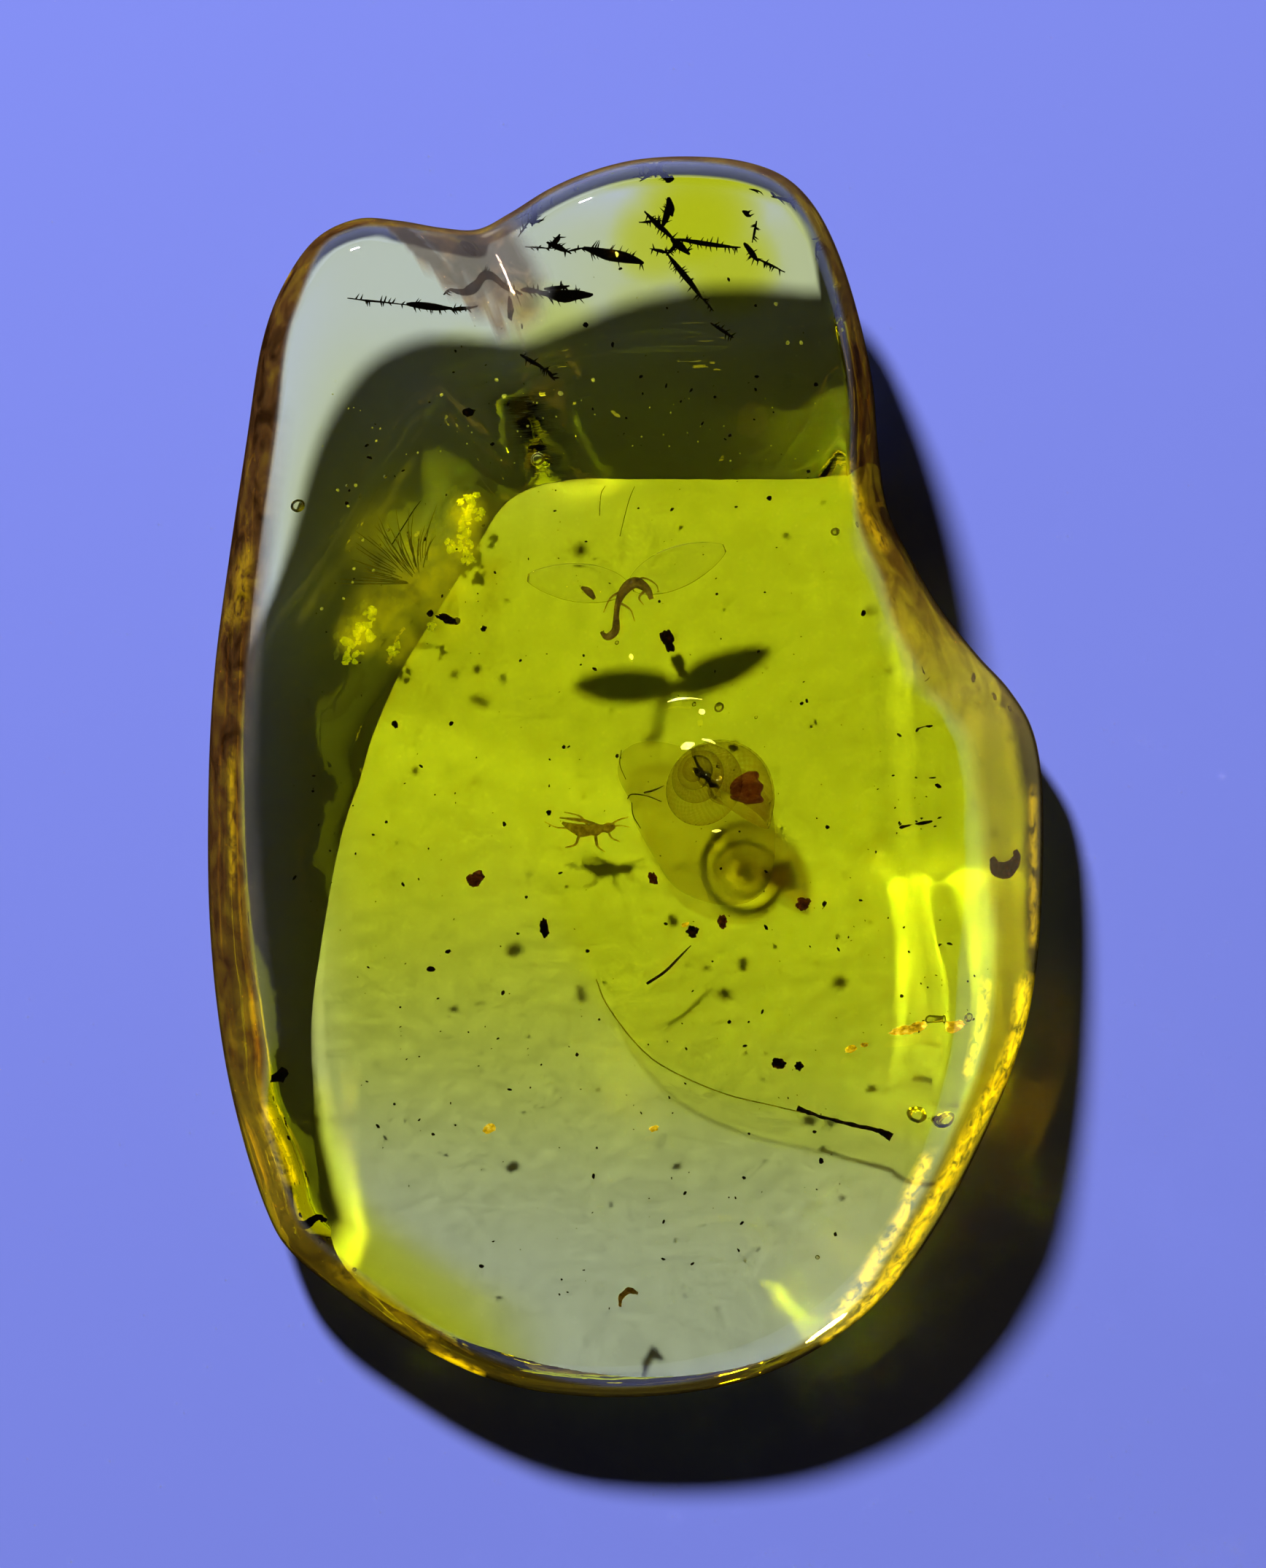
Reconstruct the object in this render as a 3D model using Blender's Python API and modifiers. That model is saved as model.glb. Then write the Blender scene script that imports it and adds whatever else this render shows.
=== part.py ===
"""A land snail and other small forest litter sealed in a polished nugget of amber.

The nugget lies on its flat underside: +Z is up, +Y runs towards the two-humped end, and the
origin is under the middle of its outline. The real nugget is one piece. Here it is parted on
a plane that rises a little towards the humps, and everything sealed in it lies in a pocket that
opens onto that plane.

All sizes below are in millimetres, and MM turns them into Blender's metres.
"""

import math
import random

import bmesh
import bpy
from mathutils import Matrix, Vector
from mathutils.bvhtree import BVHTree
from mathutils.interpolate import poly_3d_calc

MM = 0.001

# ---------------------------------------------------------------- driving sizes
LENGTH = 42.0
WIDTH = 28.3
THICKNESS = 8.8
THIN_END_DROP = 4.2  # how much lower the top lies at the thin end, towards -X and -Y
PARTING_HEIGHT = 3.8  # at the origin
PARTING_SLOPE = 0.08  # rise towards +Y, which keeps the parting near the girdle
PARTING_GAP = 0.1
POCKET_GAP = 0.12
POCKET_REACH = 0.3  # how far every pocket runs past the parting plane
POCKET_SIDES = 10
REFRACTIVE_INDEX = 1.54

# The outline seen from above, clockwise from the left hump.
OUTLINE = [
    (-9.1, 18.9), (-7.7, 18.85), (-6.2, 18.6), (-5.0, 18.55), (-3.9, 19.1), (-2.6, 19.9),
    (-1.2, 20.5), (0.4, 20.9), (2.2, 21.0), (3.9, 20.85), (5.3, 20.35), (6.3, 19.4),
    (7.1, 17.9), (7.8, 15.8), (8.35, 13.4), (8.6, 10.9), (8.9, 9.1), (9.6, 7.6),
    (10.6, 5.85), (11.9, 4.2), (13.0, 3.0), (13.8, 1.6), (14.12, -0.4), (14.12, -3.6),
    (13.9, -6.6), (13.4, -9.0), (12.4, -11.6), (10.9, -14.6), (9.2, -17.1), (7.2, -18.95),
    (4.6, -20.3), (1.6, -20.95), (-1.6, -21.0), (-4.4, -20.5), (-7.2, -19.2), (-9.8, -17.4),
    (-11.3, -16.15), (-12.1, -14.9), (-13.0, -12.2), (-13.7, -8.9), (-14.1, -4.8),
    (-14.12, -0.2), (-13.9, 3.6), (-13.4, 7.4), (-12.8, 11.4), (-12.3, 14.6),
    (-11.6, 16.6), (-10.5, 18.2),
]  # fmt: skip
STEPS_PER_POINT = 2

# Bearing from +X in degrees: height of the girdle, width of the slope above it, how round that
# slope is (1 a straight bevel, 2 an ellipse), the reach of the flat base from the origin, and
# the curve of the slope below the girdle (under 1 it bulges, over 1 it is a level shelf that
# turns into a ramp, this much steeper than a straight slope). The humps are undercut, so their
# end stands clear of the surface that the nugget lies on.
RIM = {
    0: (2.7, 4.6, 1.4, 12.6, 0.6),
    10: (2.8, 3.7, 1.4, 12.4, 0.6),
    20: (2.9, 2.2, 1.5, 11.5, 0.6),
    32: (2.6, 1.5, 1.7, 10.7, 0.65),
    44: (1.8, 1.4, 1.8, 11.15, 0.85),
    54: (1.3, 1.3, 1.9, 12.6, 1.0),
    59: (2.8, 1.2, 2.0, 11.9, 1.0),
    65: (4.2, 1.2, 2.0, 11.25, 1.15),
    75: (4.4, 1.3, 2.0, 10.56, 1.75),
    88: (4.4, 1.2, 2.0, 10.22, 1.85),
    101: (4.3, 1.2, 2.0, 10.35, 1.85),
    112: (4.2, 1.3, 2.0, 10.3, 1.85),
    124: (4.1, 1.3, 2.0, 9.2, 1.9),
    137: (3.9, 1.2, 2.0, 8.55, 1.7),
    155: (3.7, 1.2, 2.0, 8.45, 1.3),
    168: (3.5, 1.3, 1.9, 8.6, 1.2),
    180: (3.3, 1.4, 1.8, 8.95, 1.05),
    204: (2.9, 1.6, 1.8, 10.95, 0.85),
    223: (2.5, 1.8, 1.8, 14.3, 0.65),
    235: (2.3, 2.0, 1.8, 17.3, 0.6),
    250: (2.0, 2.4, 1.7, 18.5, 0.6),
    270: (1.8, 2.7, 1.7, 19.0, 0.6),
    285: (1.85, 2.6, 1.7, 18.7, 0.6),
    300: (2.0, 2.4, 1.7, 17.4, 0.6),
    319: (2.3, 2.7, 1.4, 14.9, 0.6),
    335: (2.5, 4.0, 1.4, 13.4, 0.6),
    350: (2.6, 4.5, 1.4, 12.7, 0.6),
}
UPPER_RINGS = 6
LOWER_RINGS = 6
PLATEAU_RINGS = 3

# The groove between the two humps, from the rim towards the middle.
GROOVE_START = Vector((-5.4, 19.4))
GROOVE_END = Vector((-2.9, 14.6))
GROOVE_DEPTH = 1.3
GROOVE_LEFT_WIDTH = 0.7
GROOVE_RIGHT_WIDTH = 1.7

# ---------------------------------------------------------------- the snail
SNAIL_SEEN_AT = (3.2, -0.63, 4.7)  # the middle of the last whorl, and its height
SNAIL_AXIS = Vector((-0.42, 0.42, 0.80))  # from the mouth end to the tip of the spire
SNAIL_SPIN = math.radians(103)
WHORLS = 3.4
WHORL_GROWTH = 1.5  # how much larger each turn is than the one before
COIL_RADIUS = 0.85
TUBE_RADIUS = 1.15
SPIRE_HEIGHT = 2.2
DESCENT_GROWTH = 2.2  # how much faster each turn runs down the axis than the one before
SHELL_WALL = 0.16
MOUTH_TURN = 0.34  # how far back the last whorl is hollow, in turns
BODY_TURNS = (0.03, 0.24)  # where the dried body lies, in turns back from the lip
TUBE_STEPS = 15  # points on the spiral for each turn
MOUTH_RUN = 0.5  # how far the mouth's cutter runs out past the lip

# ---------------------------------------------------------------- heights of the sealed pieces
GNAT_HEIGHT = 6.3
LOUSE_HEIGHT = 2.55
LEG_HEIGHT = 4.9


# ---------------------------------------------------------------- helpers
def smoothstep(low, high, value):
    """0 below low, 1 above high, and a smooth curve between."""
    t = max(0.0, min(1.0, (value - low) / (high - low)))
    return t * t * (3 - 2 * t)


def finish_named(name, base_colour, roughness, transmission=0.0):
    """A plain material in the piece's own colour."""
    material = bpy.data.materials.new(name)
    material.use_nodes = True
    shader = material.node_tree.nodes["Principled BSDF"]
    shader.inputs["Base Color"].default_value = (*base_colour, 1.0)
    shader.inputs["Roughness"].default_value = roughness
    shader.inputs["Metallic"].default_value = 0.0
    shader.inputs["Transmission Weight"].default_value = transmission
    return material


def linked(name, mesh, material, collection):
    """A new object of this mesh, smooth except at its creases."""
    mesh.name = name
    mesh.materials.clear()
    mesh.materials.append(material)
    mesh.shade_smooth()
    mesh.set_sharp_from_angle(angle=math.radians(40))
    piece = bpy.data.objects.new(name, mesh)
    collection.objects.link(piece)
    return piece


def evaluated_mesh(piece):
    """The piece's mesh with its modifiers applied and its loose caps welded, in world space."""
    bpy.context.view_layer.update()
    graph = bpy.context.evaluated_depsgraph_get()
    mesh = bpy.data.meshes.new_from_object(piece.evaluated_get(graph))
    mesh.transform(piece.matrix_world)
    bm = bmesh.new()
    bm.from_mesh(mesh)
    bmesh.ops.remove_doubles(bm, verts=bm.verts, dist=0.002 * MM)
    bmesh.ops.recalc_face_normals(bm, faces=bm.faces)
    bm.to_mesh(mesh)
    bm.free()
    return mesh


def hide(piece):
    """Marks a cutter or a guide, which is no part of the object."""
    piece.hide_render = True
    piece.display_type = "WIRE"


def line_of_sight(whole):
    """A function that finds where a piece lies if it is seen from straight above at (x, y)."""
    corners = [vertex.co for vertex in whole.vertices]
    tree = BVHTree.FromPolygons(corners, [face.vertices for face in whole.polygons])
    down = Vector((0, 0, -1))

    def seal(x, y, z):
        """The spot at height z, in millimetres, to which the amber's curved top bends the view."""
        entry, _, number, _ = tree.ray_cast(Vector((x, y, 2 * THICKNESS)) * MM, down)
        around = [whole.vertices[i] for i in whole.polygons[number].vertices]
        shares = poly_3d_calc([vertex.co for vertex in around], entry)
        normal = sum((v.normal * share for v, share in zip(around, shares)), Vector())
        normal.normalize()
        facing = normal.z
        bent = math.sqrt(1 - (1 - facing**2) / REFRACTIVE_INDEX**2)
        ray = down / REFRACTIVE_INDEX + normal * (facing / REFRACTIVE_INDEX - bent)
        entry = entry / MM
        return entry + ray * (z - entry.z) / ray.z

    return seal


# ---------------------------------------------------------------- the amber
def outline_curve():
    """Points and inward directions round the outline, from a Catmull-Rom curve."""
    ring = []
    count = len(OUTLINE)
    for i in range(count):
        a, b, c, d = (Vector(OUTLINE[(i + k) % count]) for k in (-1, 0, 1, 2))
        for step in range(STEPS_PER_POINT):
            t = step / STEPS_PER_POINT
            ring.append(
                0.5 * (2 * b + (c - a) * t + (2 * a - 5 * b + 4 * c - d) * t**2
                       + (3 * b - a - 3 * c + d) * t**3)
            )  # fmt: skip
    lows = Vector((min(p.x for p in ring), min(p.y for p in ring)))
    highs = Vector((max(p.x for p in ring), max(p.y for p in ring)))
    middle, size = (lows + highs) / 2, highs - lows
    return [
        Vector(((p.x - middle.x) * WIDTH / size.x, (p.y - middle.y) * LENGTH / size.y))
        for p in ring
    ]


def rim_at(bearing):
    """The rim's sizes at this bearing in degrees, on a smooth closed curve through the table."""
    bearings = sorted(RIM)
    count = len(bearings)
    after = sum(1 for angle in bearings if angle <= bearing)
    places = range(after - 2, after + 2)
    angles = [bearings[k % count] + 360 * (k // count) for k in places]
    gap = angles[2] - angles[1]
    t = (bearing - angles[1]) / gap
    sizes = []
    for a, b, c, d in zip(*(RIM[bearings[k % count]] for k in places)):
        leaving = (c - a) / (angles[2] - angles[0]) * gap
        arriving = (d - b) / (angles[3] - angles[1]) * gap
        bend = (2 * (b - c) + leaving + arriving) * t**3
        sizes.append(b + leaving * t + (3 * (c - b) - 2 * leaving - arriving) * t**2 + bend)
    return sizes


def top_height(x, y):
    """Height of the polished top over a point, before the rim rolls over."""
    towards_thin_end = -0.30 * x - 0.95 * y
    drop = THIN_END_DROP * smoothstep(-4.0, 21.0, towards_thin_end)
    crown = 0.45 * (x / (WIDTH / 2)) ** 2
    return THICKNESS - drop - crown


def groove_depth(x, y):
    """How far the groove between the humps is sunk at a point."""
    along = (GROOVE_END - GROOVE_START).normalized()
    length = (GROOVE_END - GROOVE_START).length
    offset = Vector((x, y)) - GROOVE_START
    share = offset.dot(along) / length
    across = offset.cross(along)
    width = GROOVE_LEFT_WIDTH if across > 0 else GROOVE_RIGHT_WIDTH
    fade = 1 - smoothstep(0.35, 1.0, share)
    return GROOVE_DEPTH * fade * math.exp(-((across / width) ** 2))


def parting_at(y):
    """Height of the parting plane over a point this far along the nugget."""
    return PARTING_HEIGHT + PARTING_SLOPE * y


def rolled(share, roll):
    """Rise of the rim's rounded slope, from 0 at the girdle to 1 where it meets the flat."""
    return (1 - (1 - share) ** roll) ** (1 / roll)


def fallen(share, curve):
    """Fall of the slope below the girdle, from 0 at the girdle to 1 at the flat base's edge."""
    if curve <= 1:
        return share**curve
    ramp_start = (1 - 1 / curve) / 0.75
    if share < ramp_start:
        return curve * share * (share / ramp_start) ** 3 / 4
    return 1 - curve * (1 - share)


def amber_whole():
    """The nugget as one closed mesh: a flat base, a rounded rim and a gently domed top."""
    ring = outline_curve()
    count = len(ring)
    rims, reaches = [], []
    for i, point in enumerate(ring):
        tangent = (ring[(i + 1) % count] - ring[i - 1]).normalized()
        facing = abs(tangent.cross(point.normalized()))
        bearing = math.degrees(math.atan2(point.y, point.x)) % 360
        rims.append(rim_at(bearing))
        reaches.append(max(facing, 0.5))

    def level(place):
        """One ring of vertices, each at the spot that place gives for its number."""
        return [bm.verts.new(Vector(place(i)) * MM) for i in range(count)]

    def inset(i, distance):
        """The outline's point moved this far in, measured square to the outline."""
        return ring[i] - ring[i].normalized() * distance / reaches[i]

    def below(share):
        def place(i):
            girdle, _, _, base, curve = rims[i]
            spot = ring[i].lerp(ring[i].normalized() * base, share)
            return (spot.x, spot.y, girdle * (1 - fallen(share, curve)))
        return place

    def above(share):
        def place(i):
            girdle, upper, roll, _, _ = rims[i]
            spot = inset(i, share * upper)
            height = top_height(*spot) - groove_depth(*spot) * smoothstep(0, 0.4, share)
            return (spot.x, spot.y, girdle + (height - girdle) * rolled(share, roll))
        return place

    def across(share):
        def place(i):
            spot = inset(i, rims[i][1]) * share
            return (spot.x, spot.y, top_height(*spot) - groove_depth(*spot))
        return place

    bm = bmesh.new()
    lower = [(1 - math.cos(math.pi * k / LOWER_RINGS)) / 2 for k in range(LOWER_RINGS, 0, -1)]
    upper = [(k / UPPER_RINGS) ** 1.5 for k in range(UPPER_RINGS + 1)]
    inner = [1 - k / PLATEAU_RINGS for k in range(1, PLATEAU_RINGS)]
    levels = [level(below(s)) for s in lower]
    levels += [level(above(s)) for s in upper]
    levels += [level(across(s)) for s in inner]
    for outer, next_in in zip(levels, levels[1:]):
        for i in range(count):
            j = (i + 1) % count
            bm.faces.new((outer[i], outer[j], next_in[j], next_in[i]))
    bm.faces.new(levels[0])
    crown = bm.verts.new(Vector((0, 0, top_height(0, 0))) * MM)
    for i in range(count):
        bm.faces.new((levels[-1][i], levels[-1][(i + 1) % count], crown))
    bmesh.ops.recalc_face_normals(bm, faces=bm.faces)
    mesh = bpy.data.meshes.new("amber_whole")
    bm.to_mesh(mesh)
    bm.free()
    return mesh


def amber_half(name, whole, upper, material, collection, pockets):
    """The part of the nugget on one side of the parting plane, with its pockets cut out."""
    mesh = whole.copy()
    side = 1 if upper else -1
    bm = bmesh.new()
    bm.from_mesh(mesh)
    bmesh.ops.bisect_plane(
        bm,
        geom=bm.verts[:] + bm.edges[:] + bm.faces[:],
        plane_co=(0, 0, (PARTING_HEIGHT + side * PARTING_GAP / 2) * MM),
        plane_no=(0, -PARTING_SLOPE, 1),
        clear_inner=upper,
        clear_outer=not upper,
    )
    open_edges = [edge for edge in bm.edges if edge.is_boundary]
    bmesh.ops.contextual_create(bm, geom=open_edges)
    bmesh.ops.recalc_face_normals(bm, faces=bm.faces)
    bm.to_mesh(mesh)
    bm.free()
    half = linked(name, mesh, material, collection)
    cut = half.modifiers.new("Pockets", "BOOLEAN")
    cut.operation = "DIFFERENCE"
    cut.solver = "EXACT"
    cut.operand_type = "COLLECTION"
    cut.collection = pockets
    return half


def pocket_round(piece, pockets):
    """An upright prism that clears the piece all round and crosses the parting plane."""
    mesh = evaluated_mesh(piece)
    spots = [vertex.co / MM for vertex in mesh.vertices]
    bottom = min(min(p.z for p in spots) - POCKET_GAP, parting_at(spots[0].y) - POCKET_REACH)
    top = max(max(p.z for p in spots) + POCKET_GAP, parting_at(spots[0].y) + POCKET_REACH)
    walls = []
    for side in range(POCKET_SIDES):
        angle = 2 * math.pi * side / POCKET_SIDES
        outward = Vector((math.cos(angle), math.sin(angle)))
        walls.append((outward, max(p.xy.dot(outward) for p in spots) + POCKET_GAP))
    corners = []
    for (a, reach_a), (b, reach_b) in zip(walls, walls[1:] + walls[:1]):
        along = Vector((-a.y, a.x))
        corners.append(a * reach_a + along * (reach_b - reach_a * a.dot(b)) / along.dot(b))
    bm = bmesh.new()
    floor = bm.faces.new([bm.verts.new(Vector((*c, bottom)) * MM) for c in corners])
    raised = bmesh.ops.extrude_face_region(bm, geom=[floor])["geom"]
    lifted = [item for item in raised if isinstance(item, bmesh.types.BMVert)]
    bmesh.ops.translate(bm, vec=(0, 0, (top - bottom) * MM), verts=lifted)
    bmesh.ops.remove_doubles(bm, verts=bm.verts, dist=0.002 * MM)
    bmesh.ops.recalc_face_normals(bm, faces=bm.faces)
    bm.to_mesh(mesh)
    bm.free()
    cutter = bpy.data.objects.new("pocket_" + piece.name, mesh)
    pockets.objects.link(cutter)
    hide(cutter)


# ---------------------------------------------------------------- the snail's shell
def whorl_point(turns_back):
    """The middle and radius of the shell's tube, this many turns back from the lip."""
    size = WHORL_GROWTH**-turns_back
    angle = 2 * math.pi * turns_back
    middle = Vector((
        COIL_RADIUS * size * math.cos(angle),
        COIL_RADIUS * size * math.sin(angle),
        SPIRE_HEIGHT * (1 - DESCENT_GROWTH**-turns_back),
    ))
    return middle, TUBE_RADIUS * size


def shell_placement(seal):
    """Turns the shell's own frame, with the spire along +Z, to how it lies in the amber."""
    middle = Matrix.Translation(seal(*SNAIL_SEEN_AT) * MM)
    upright = SNAIL_AXIS.normalized().to_track_quat("Z", "Y").to_matrix().to_4x4()
    return middle @ upright @ Matrix.Rotation(SNAIL_SPIN, 4, "Z")


def spiral_tube(name, start, end, thinner, placement, collection, lead=0.0):
    """A closed tube along the shell's spiral, between two turns back from the lip."""
    curve = bpy.data.curves.new(name, "CURVE")
    curve.dimensions = "3D"
    curve.bevel_depth = 1.0 * MM
    curve.bevel_resolution = 3
    curve.use_fill_caps = True
    steps = max(3, math.ceil((end - start) * TUBE_STEPS))
    path = [whorl_point(start + (end - start) * k / steps) for k in range(steps + 1)]
    if lead:
        ahead = (path[0][0] - path[1][0]).normalized()
        path.insert(0, (path[0][0] + ahead * lead, path[0][1] * 1.15))
    spline = curve.splines.new("POLY")
    spline.points.add(len(path) - 1)
    for point, (middle, radius) in zip(spline.points, path):
        point.co = (*(middle * MM), 1.0)
        point.radius = radius - thinner
    guide = bpy.data.objects.new(name, curve)
    guide.matrix_world = placement
    collection.objects.link(guide)
    mesh = evaluated_mesh(guide)
    bpy.data.objects.remove(guide)
    return mesh


def snail(seal, shell_material, body_material, collection, guides):
    """The coiled shell, hollow behind its lip, and the dried body drawn back inside it."""
    placement = shell_placement(seal)
    shell = linked(
        "snail_shell",
        spiral_tube("coil", 0.0, WHORLS, 0.0, placement, guides),
        shell_material,
        collection,
    )
    tip, tip_radius = whorl_point(WHORLS)
    bm = bmesh.new()
    bmesh.ops.create_uvsphere(bm, u_segments=10, v_segments=6, radius=tip_radius * 1.3 * MM)
    bmesh.ops.transform(bm, matrix=placement @ Matrix.Translation(tip * MM), verts=bm.verts)
    tip_mesh = bpy.data.meshes.new("spire_tip")
    bm.to_mesh(tip_mesh)
    bm.free()
    spire_tip = linked("spire_tip", tip_mesh, shell_material, guides)
    mouth = linked(
        "shell_mouth",
        spiral_tube("mouth", 0.0, MOUTH_TURN, SHELL_WALL, placement, guides, lead=MOUTH_RUN),
        shell_material,
        guides,
    )
    joined(shell, [spire_tip])
    shell.modifiers[0].use_self = True
    hide(mouth)
    hollow = shell.modifiers.new("Mouth", "BOOLEAN")
    hollow.operation, hollow.object, hollow.solver = "DIFFERENCE", mouth, "EXACT"
    body = linked(
        "snail_body",
        spiral_tube("body", *BODY_TURNS, SHELL_WALL * 2.1, placement, guides),
        body_material,
        collection,
    )
    return [shell, body]


# ---------------------------------------------------------------- insects, litter and chips
def limb(name, chain, seal, material, collection, levels):
    """A closed tapering limb along a chain of (x, y, z, radius) points."""
    spots = [seal(*joint[:3]) * MM for joint in chain]
    mesh = bpy.data.meshes.new(name)
    mesh.from_pydata(spots, [(i, i + 1) for i in range(len(spots) - 1)], [])
    guide = bpy.data.objects.new(name + "_guide", mesh)
    collection.objects.link(guide)
    guide.modifiers.new("Skin", "SKIN")
    for skin, joint in zip(mesh.skin_vertices[0].data, chain):
        skin.radius = (joint[3] * MM, joint[3] * MM)
    smooth = guide.modifiers.new("Subdivision", "SUBSURF")
    smooth.levels = smooth.render_levels = levels
    grown = evaluated_mesh(guide)
    bpy.data.objects.remove(guide)
    return linked(name, grown, material, collection)


def branched(name, chains, seal, material, collection, guides, levels=0):
    """A limb along the first chain, with a plainer limb fused to it for each chain after."""
    trunk = limb(name, chains[0], seal, material, collection, levels)
    twigs = [
        limb(f"{name}_branch_{number}", chain, seal, material, guides, 0)
        for number, chain in enumerate(chains[1:], 1)
    ]
    return joined(trunk, twigs)


def joined(piece, others):
    """Fuses other closed pieces to this one with Boolean unions."""
    for other in others:
        hide(other)
        union = piece.modifiers.new("With " + other.name, "BOOLEAN")
        union.operation, union.object, union.solver = "UNION", other, "EXACT"
    return piece


def blade(name, root, tip, width, thickness, seal, material, collection):
    """A flat lens from root to tip, such as a wing."""
    root, tip = seal(*root), seal(*tip)
    bm = bmesh.new()
    bmesh.ops.create_uvsphere(bm, u_segments=10, v_segments=4, radius=1.0 * MM)
    stretch = Matrix.Diagonal(((tip - root).length / 2, width / 2, thickness / 2, 1.0))
    turn = (tip - root).to_track_quat("X", "Z").to_matrix().to_4x4()
    shift = Matrix.Translation((root + tip) / 2 * MM)
    bmesh.ops.transform(bm, matrix=shift @ turn @ stretch, verts=bm.verts)
    mesh = bpy.data.meshes.new(name)
    bm.to_mesh(mesh)
    bm.free()
    return linked(name, mesh, material, collection)


def chip(name, spot, size, seed, material, collection):
    """An angular flake, a rough many-sided lump of this length, width and height."""
    dice = random.Random(seed)
    bm = bmesh.new()
    bmesh.ops.create_icosphere(bm, subdivisions=1, radius=0.5 * MM)
    for vertex in bm.verts:
        vertex.co *= dice.uniform(0.75, 1.1)
    turn = Matrix.Rotation(dice.uniform(0, math.pi), 4, "Z")
    stretch = Matrix.Diagonal((*size, 1.0))
    shift = Matrix.Translation(spot * MM)
    bmesh.ops.transform(bm, matrix=shift @ turn @ stretch, verts=bm.verts)
    mesh = bpy.data.meshes.new(name)
    bm.to_mesh(mesh)
    bm.free()
    return linked(name, mesh, material, collection)


def insect_legs(seal, material, collection, guides):
    """Seven loose legs by the humps. A thick link is a thigh, and the thin ones past it a foot."""
    z = LEG_HEIGHT
    hip = (1.5, 18.1, z, 0.14)
    legs = {
        "insect_leg_1": [[
            (-9.22, 16.15, z, 0.06), (-7.45, 15.97, z, 0.08), (-6.5, 16.0, z, 0.16),
            (-5.35, 15.78, z, 0.11), (-4.87, 15.97, z, 0.06),
        ]],
        "insect_leg_2": [[
            (-5.52, 17.64, z, 0.08), (-5.0, 17.42, z, 0.11), (-4.3, 16.84, z, 0.16),
            (-3.6, 16.37, z, 0.13), (-2.95, 16.42, z, 0.08), (-2.4, 16.6, z, 0.13),
            (-1.75, 16.58, z, 0.18), (-1.02, 16.33, z, 0.06),
        ]],
        "insect_leg_3": [[
            (-3.75, 18.35, z, 0.06), (-3.3, 18.45, z, 0.09), (-2.66, 18.35, z, 0.07),
            (-2.4, 18.0, z, 0.10), (-1.75, 17.85, z, 0.07), (-0.9, 17.8, z, 0.17),
            (-0.1, 17.72, z, 0.21), (0.63, 17.34, z, 0.07),
        ]],
        "insect_leg_4": [[
            (0.14, 19.95, z, 0.06), (0.7, 20.05, z, 0.08), (1.1, 20.0, z, 0.11),
            (1.38, 19.62, z, 0.14), (1.5, 19.15, z, 0.10), (1.52, 18.85, z, 0.06),
        ]],
        "insect_leg_5": [
            [(0.68, 19.05, z, 0.06), (1.05, 18.7, z, 0.09), hip, (1.42, 17.7, z, 0.12),
             (1.85, 17.2, z, 0.11), (2.35, 16.6, z, 0.15), (2.73, 15.9, z, 0.08),
             (3.0, 15.3, z, 0.06), (3.65, 14.83, z, 0.09)],
            [hip, (2.23, 18.03, z, 0.13), (2.7, 17.93, z, 0.08), (3.93, 17.85, z, 0.06)],
        ],
        "insect_leg_6": [[
            (4.0, 19.05, z, 0.06), (4.4, 18.8, z, 0.07), (4.3, 18.15, z, 0.06),
            (4.25, 17.9, z, 0.10), (4.5, 17.45, z, 0.13), (5.0, 17.3, z, 0.07),
            (5.32, 17.05, z, 0.06),
        ]],
        "insect_leg_7": [[
            (-3.6, 14.3, z, 0.07), (-3.05, 14.0, z, 0.10), (-2.65, 13.72, z, 0.05),
            (-2.4, 13.45, z, 0.09),
        ]],
    }  # fmt: skip
    return [
        branched(name, chains, seal, material, collection, guides)
        for name, chains in legs.items()
    ]


def gnat(seal, material, collection, guides):
    """The two-winged fly above the snail: a bent body, two spread wings and a hooked tail."""
    z = GNAT_HEIGHT
    body = branched(
        "gnat",
        [[(0.86, 6.05, z, 0.12), (0.7, 6.4, z, 0.18), (0.3, 6.6, z, 0.24),
          (-0.05, 6.35, z, 0.22), (-0.25, 5.95, z - 0.1, 0.16), (-0.32, 5.5, z - 0.2, 0.15),
          (-0.35, 5.0, z - 0.3, 0.17), (-0.62, 4.78, z - 0.3, 0.14), (-0.84, 4.95, z - 0.3, 0.08)]],
        seal,
        material,
        collection,
        guides,
        levels=1,
    )  # fmt: skip
    right_tip = (3.4, 7.8, z + 0.3)
    left_tip = (-3.3, 6.8, z - 0.1)
    wings = [
        blade("wing_right", (0.1, 6.45, z), right_tip, 1.3, 0.16, seal, material, guides),
        blade("wing_left", (0.15, 6.4, z), left_tip, 1.15, 0.16, seal, material, guides),
    ]
    return joined(body, wings)


def bark_louse(seal, material, collection, guides):
    """The small insect beside the snail: a spindle body, bent legs below and two feelers."""
    z = LOUSE_HEIGHT
    waist, chest, head = (-1.5, -1.72, z, 0.21), (-1.05, -1.68, z, 0.22), (-0.62, -1.62, z, 0.17)
    return branched(
        "bark_louse",
        [
            [(-2.15, -1.45, z, 0.05), (-1.85, -1.6, z, 0.14), waist, chest, head,
             (-0.35, -1.55, z, 0.10)],
            [waist, (-1.6, -1.95, z, 0.05), (-1.72, -2.2, z, 0.035), (-2.05, -2.3, z, 0.03)],
            [chest, (-1.0, -2.1, z, 0.05), (-0.92, -2.3, z, 0.03)],
            [head, (-0.3, -1.38, z, 0.03), (0.08, -1.25, z, 0.025)],
            [chest, (-1.3, -1.4, z, 0.05), (-2.2, -1.3, z, 0.03)],
        ],
        seal,
        material,
        collection,
        guides,
        levels=1,
    )  # fmt: skip


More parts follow.
